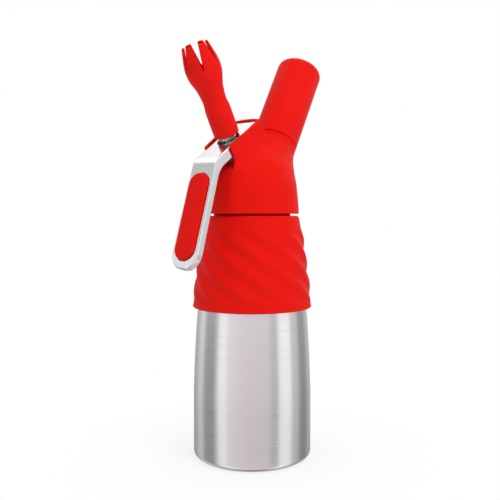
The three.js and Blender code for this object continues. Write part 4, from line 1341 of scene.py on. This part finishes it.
def card_light(made, vector, turn):
    """How bright the studio is in the direction of a vector"""
    parts = made.node("ShaderNodeSeparateXYZ")
    made.link(vector, parts.inputs["Vector"])
    angle = made.node("ShaderNodeMath", operation="ARCTAN2")
    made.link(parts.outputs["Y"], angle.inputs[0])
    made.link(parts.outputs["X"], angle.inputs[1])
    share = made.node("ShaderNodeMath", operation="MULTIPLY_ADD")
    share.inputs[1].default_value = 1 / FULL_TURN
    share.inputs[2].default_value = 0.5
    made.link(angle.outputs[0], share.inputs[0])
    return made.ramp(share.outputs[0], card_stops(turn))


def mix_shader(made, factor, first, second):
    """The first shader where the factor is zero, and the second where it is one"""
    mix = made.node("ShaderNodeMixShader")
    made.link(factor, mix.inputs["Fac"])
    made.link(first, mix.inputs[1])
    made.link(second, mix.inputs[2])
    return mix.outputs[0]


def light_path(made, *kinds):
    """One where the ray is of any of these kinds"""
    path = made.node("ShaderNodeLightPath")
    result = path.outputs[kinds[0]]
    for kind in kinds[1:]:
        either = made.node("ShaderNodeMath", operation="MAXIMUM")
        made.link(result, either.inputs[0])
        made.link(path.outputs[kind], either.inputs[1])
        result = either.outputs[0]
    return result


class WorldFinish(Finish):
    """The world's nodes, with the same short ways to add to them"""

    def __init__(self, world):
        world.use_nodes = True
        self.tree = world.node_tree
        self.tree.nodes.clear()


def make_world(studio):
    """White to the camera, even light on the object, and the studio's cards in its reflections"""
    world = bpy.data.worlds.new("studio")
    bpy.context.scene.world = world
    made = WorldFinish(world)
    direction = made.node("ShaderNodeTexCoord").outputs["Generated"]
    parts = made.node("ShaderNodeSeparateXYZ")
    made.link(direction, parts.inputs["Vector"])
    height = made.node("ShaderNodeMath", operation="MULTIPLY_ADD")
    height.inputs[1].default_value = 0.5
    height.inputs[2].default_value = 0.5
    made.link(parts.outputs["Z"], height.inputs[0])
    lowered = made.node("ShaderNodeVectorMath", operation="MULTIPLY")
    made.link(card_light(made, direction, studio.camera_turn), lowered.inputs[0])
    made.link(made.ramp(height.outputs[0], LOWER_LEVELS), lowered.inputs[1])
    cards = made.node("ShaderNodeBackground")
    made.link(lowered.outputs[0], cards.inputs["Color"])
    ambient = made.node("ShaderNodeBackground")
    ambient.inputs["Color"].default_value = WHITE
    ambient.inputs["Strength"].default_value = studio.ambient
    white = made.node("ShaderNodeBackground")
    white.inputs["Color"].default_value = WHITE
    overhead = made.node("ShaderNodeBackground")
    overhead.inputs["Strength"].default_value = studio.overhead
    made.link(made.ramp(height.outputs[0], UPPER_LEVELS), overhead.inputs["Color"])
    upward = made.ramp(height.outputs[0], list(zip(UPWARD_SHARES, (0.0, 1.0))))
    mirrored = mix_shader(made, upward, cards.outputs[0], overhead.outputs[0])
    soft = mix_shader(made, light_path(made, "Is Glossy Ray"), ambient.outputs[0], mirrored)
    seen = light_path(made, "Is Camera Ray", "Is Transmission Ray")
    output = made.node("ShaderNodeOutputWorld")
    made.link(mix_shader(made, seen, soft, white.outputs[0]), output.inputs["Surface"])


def make_floor(studio):
    """A round white floor. Far from the object it is as white as the background"""
    ring = arc((0, 0), studio.floor_radius, 0, FULL_TURN, FLOOR_SIDES)[:-1]
    floor = new_object("studio_floor", [(x, y, -FLOOR_DROP) for x, y in ring], [range(len(ring))])
    made = Finish("finish_floor")
    made.tree.nodes.remove(made.shader)
    place = made.node("ShaderNodeTexCoord").outputs["Object"]
    distance = made.node("ShaderNodeVectorMath", operation="LENGTH")
    made.link(place, distance.inputs[0])
    paper = made.node("ShaderNodeBsdfDiffuse")
    clouds = made.noise(place, scale=30, detail=2)
    made.link(made.between(clouds, 0.93, 0.94), paper.inputs["Color"])
    glow = made.node("ShaderNodeEmission")
    far = made.ramp(distance.outputs["Value"], FLOOR_GLOW)
    seen = mix_shader(made, far, paper.outputs[0], glow.outputs[0])
    direct = light_path(made, "Is Camera Ray", "Is Transmission Ray")
    final = mix_shader(made, direct, paper.outputs[0], seen)
    made.link(final, made.tree.nodes["Material Output"].inputs["Surface"])
    floor.data.materials.append(made.material)
    floor.visible_glossy = False


def add_lamp(name, place, size, power):
    """A soft square lamp that looks at the middle of the dispenser"""
    lamp = bpy.data.lights.new(name, "AREA")
    lamp.shape = "SQUARE"
    lamp.size = size
    lamp.energy = power
    obj = bpy.data.objects.new(name, lamp)
    obj.location = place
    middle = (cad_low + cad_high) / 2
    obj.rotation_euler = (Vector(place) - middle).to_track_quat("Z", "Y").to_euler()
    obj.visible_glossy = False
    bpy.context.scene.collection.objects.link(obj)


def beside_camera(studio, turn, distance, height):
    """A place at some degrees round from the camera"""
    angle = studio.camera_turn + math.radians(turn)
    return (distance * math.cos(angle), distance * math.sin(angle), height)


def make_camera(studio):
    """The camera, which looks at the dispenser's axis from its place beside it"""
    data = bpy.data.cameras.new("camera")
    data.lens = studio.lens
    data.sensor_width = SENSOR_WIDTH
    data.shift_x, data.shift_y = studio.shift_x, studio.shift_y
    data.clip_start, data.clip_end = CLIP
    camera = bpy.data.objects.new("camera", data)
    camera.location = beside_camera(studio, 0, studio.camera_distance, studio.camera_height)
    camera.rotation_euler = (math.pi / 2 - studio.camera_pitch, 0, studio.camera_turn + math.pi / 2)
    bpy.context.scene.collection.objects.link(camera)
    bpy.context.scene.camera = camera


class DISPENSER_OT_stage(bpy.types.Operator):
    """Sets the camera, the lamps, the floor and the white background"""

    bl_idname = "dispenser.stage"
    bl_label = "Studio"
    bl_options = {"REGISTER", "UNDO"}

    def execute(self, context):
        studio = context.scene.dispenser.studio
        make_camera(studio)
        make_world(studio)
        make_floor(studio)
        powers = {"key_lamp": studio.key_power, "fill_lamp": studio.fill_power}
        for name, (turn, distance, height, size) in LAMPS.items():
            add_lamp(name, beside_camera(studio, turn, distance, height), size, powers[name])
        context.scene.view_settings.view_transform = "Standard"
        return {"FINISHED"}


# Panel, registration and the order of the work

OPERATORS = (
    DISPENSER_OT_stage,
    DISPENSER_OT_bottle,
    DISPENSER_OT_sleeve,
    DISPENSER_OT_head_cover,
    DISPENSER_OT_lever,
    DISPENSER_OT_nozzle,
    DISPENSER_OT_holder,
    DISPENSER_OT_spring,
    DISPENSER_OT_inner_parts,
)
GROUPS = (
    BottleSizes,
    SleeveSizes,
    CoverSizes,
    LeverSizes,
    NozzleSizes,
    HolderSizes,
    SpringSizes,
    FinishColours,
    StudioSettings,
    DispenserSettings,
)


class DISPENSER_PT_panel(bpy.types.Panel):
    """Lists the steps that build the dispenser, and its sizes"""

    bl_idname = "DISPENSER_PT_panel"
    bl_label = "Whipped Cream Dispenser"
    bl_space_type = "VIEW_3D"
    bl_region_type = "UI"
    bl_category = "Dispenser"

    def draw(self, context):
        settings = context.scene.dispenser
        for operator in OPERATORS:
            self.layout.operator(operator.bl_idname)
        for name in DispenserSettings.__annotations__:
            box = self.layout.box()
            box.label(text=name.capitalize())
            group = getattr(settings, name)
            for size in type(group).__annotations__:
                box.prop(group, size)


def register():
    for kind in (*GROUPS, *OPERATORS, DISPENSER_PT_panel):
        bpy.utils.register_class(kind)
    bpy.types.Scene.dispenser = PointerProperty(type=DispenserSettings)


def unregister():
    del bpy.types.Scene.dispenser
    for kind in reversed((*GROUPS, *OPERATORS, DISPENSER_PT_panel)):
        bpy.utils.unregister_class(kind)


def main():
    register()
    for operator in OPERATORS:
        group, name = operator.bl_idname.split(".")
        getattr(getattr(bpy.ops, group), name)()


if __name__ == "__main__":
    main()
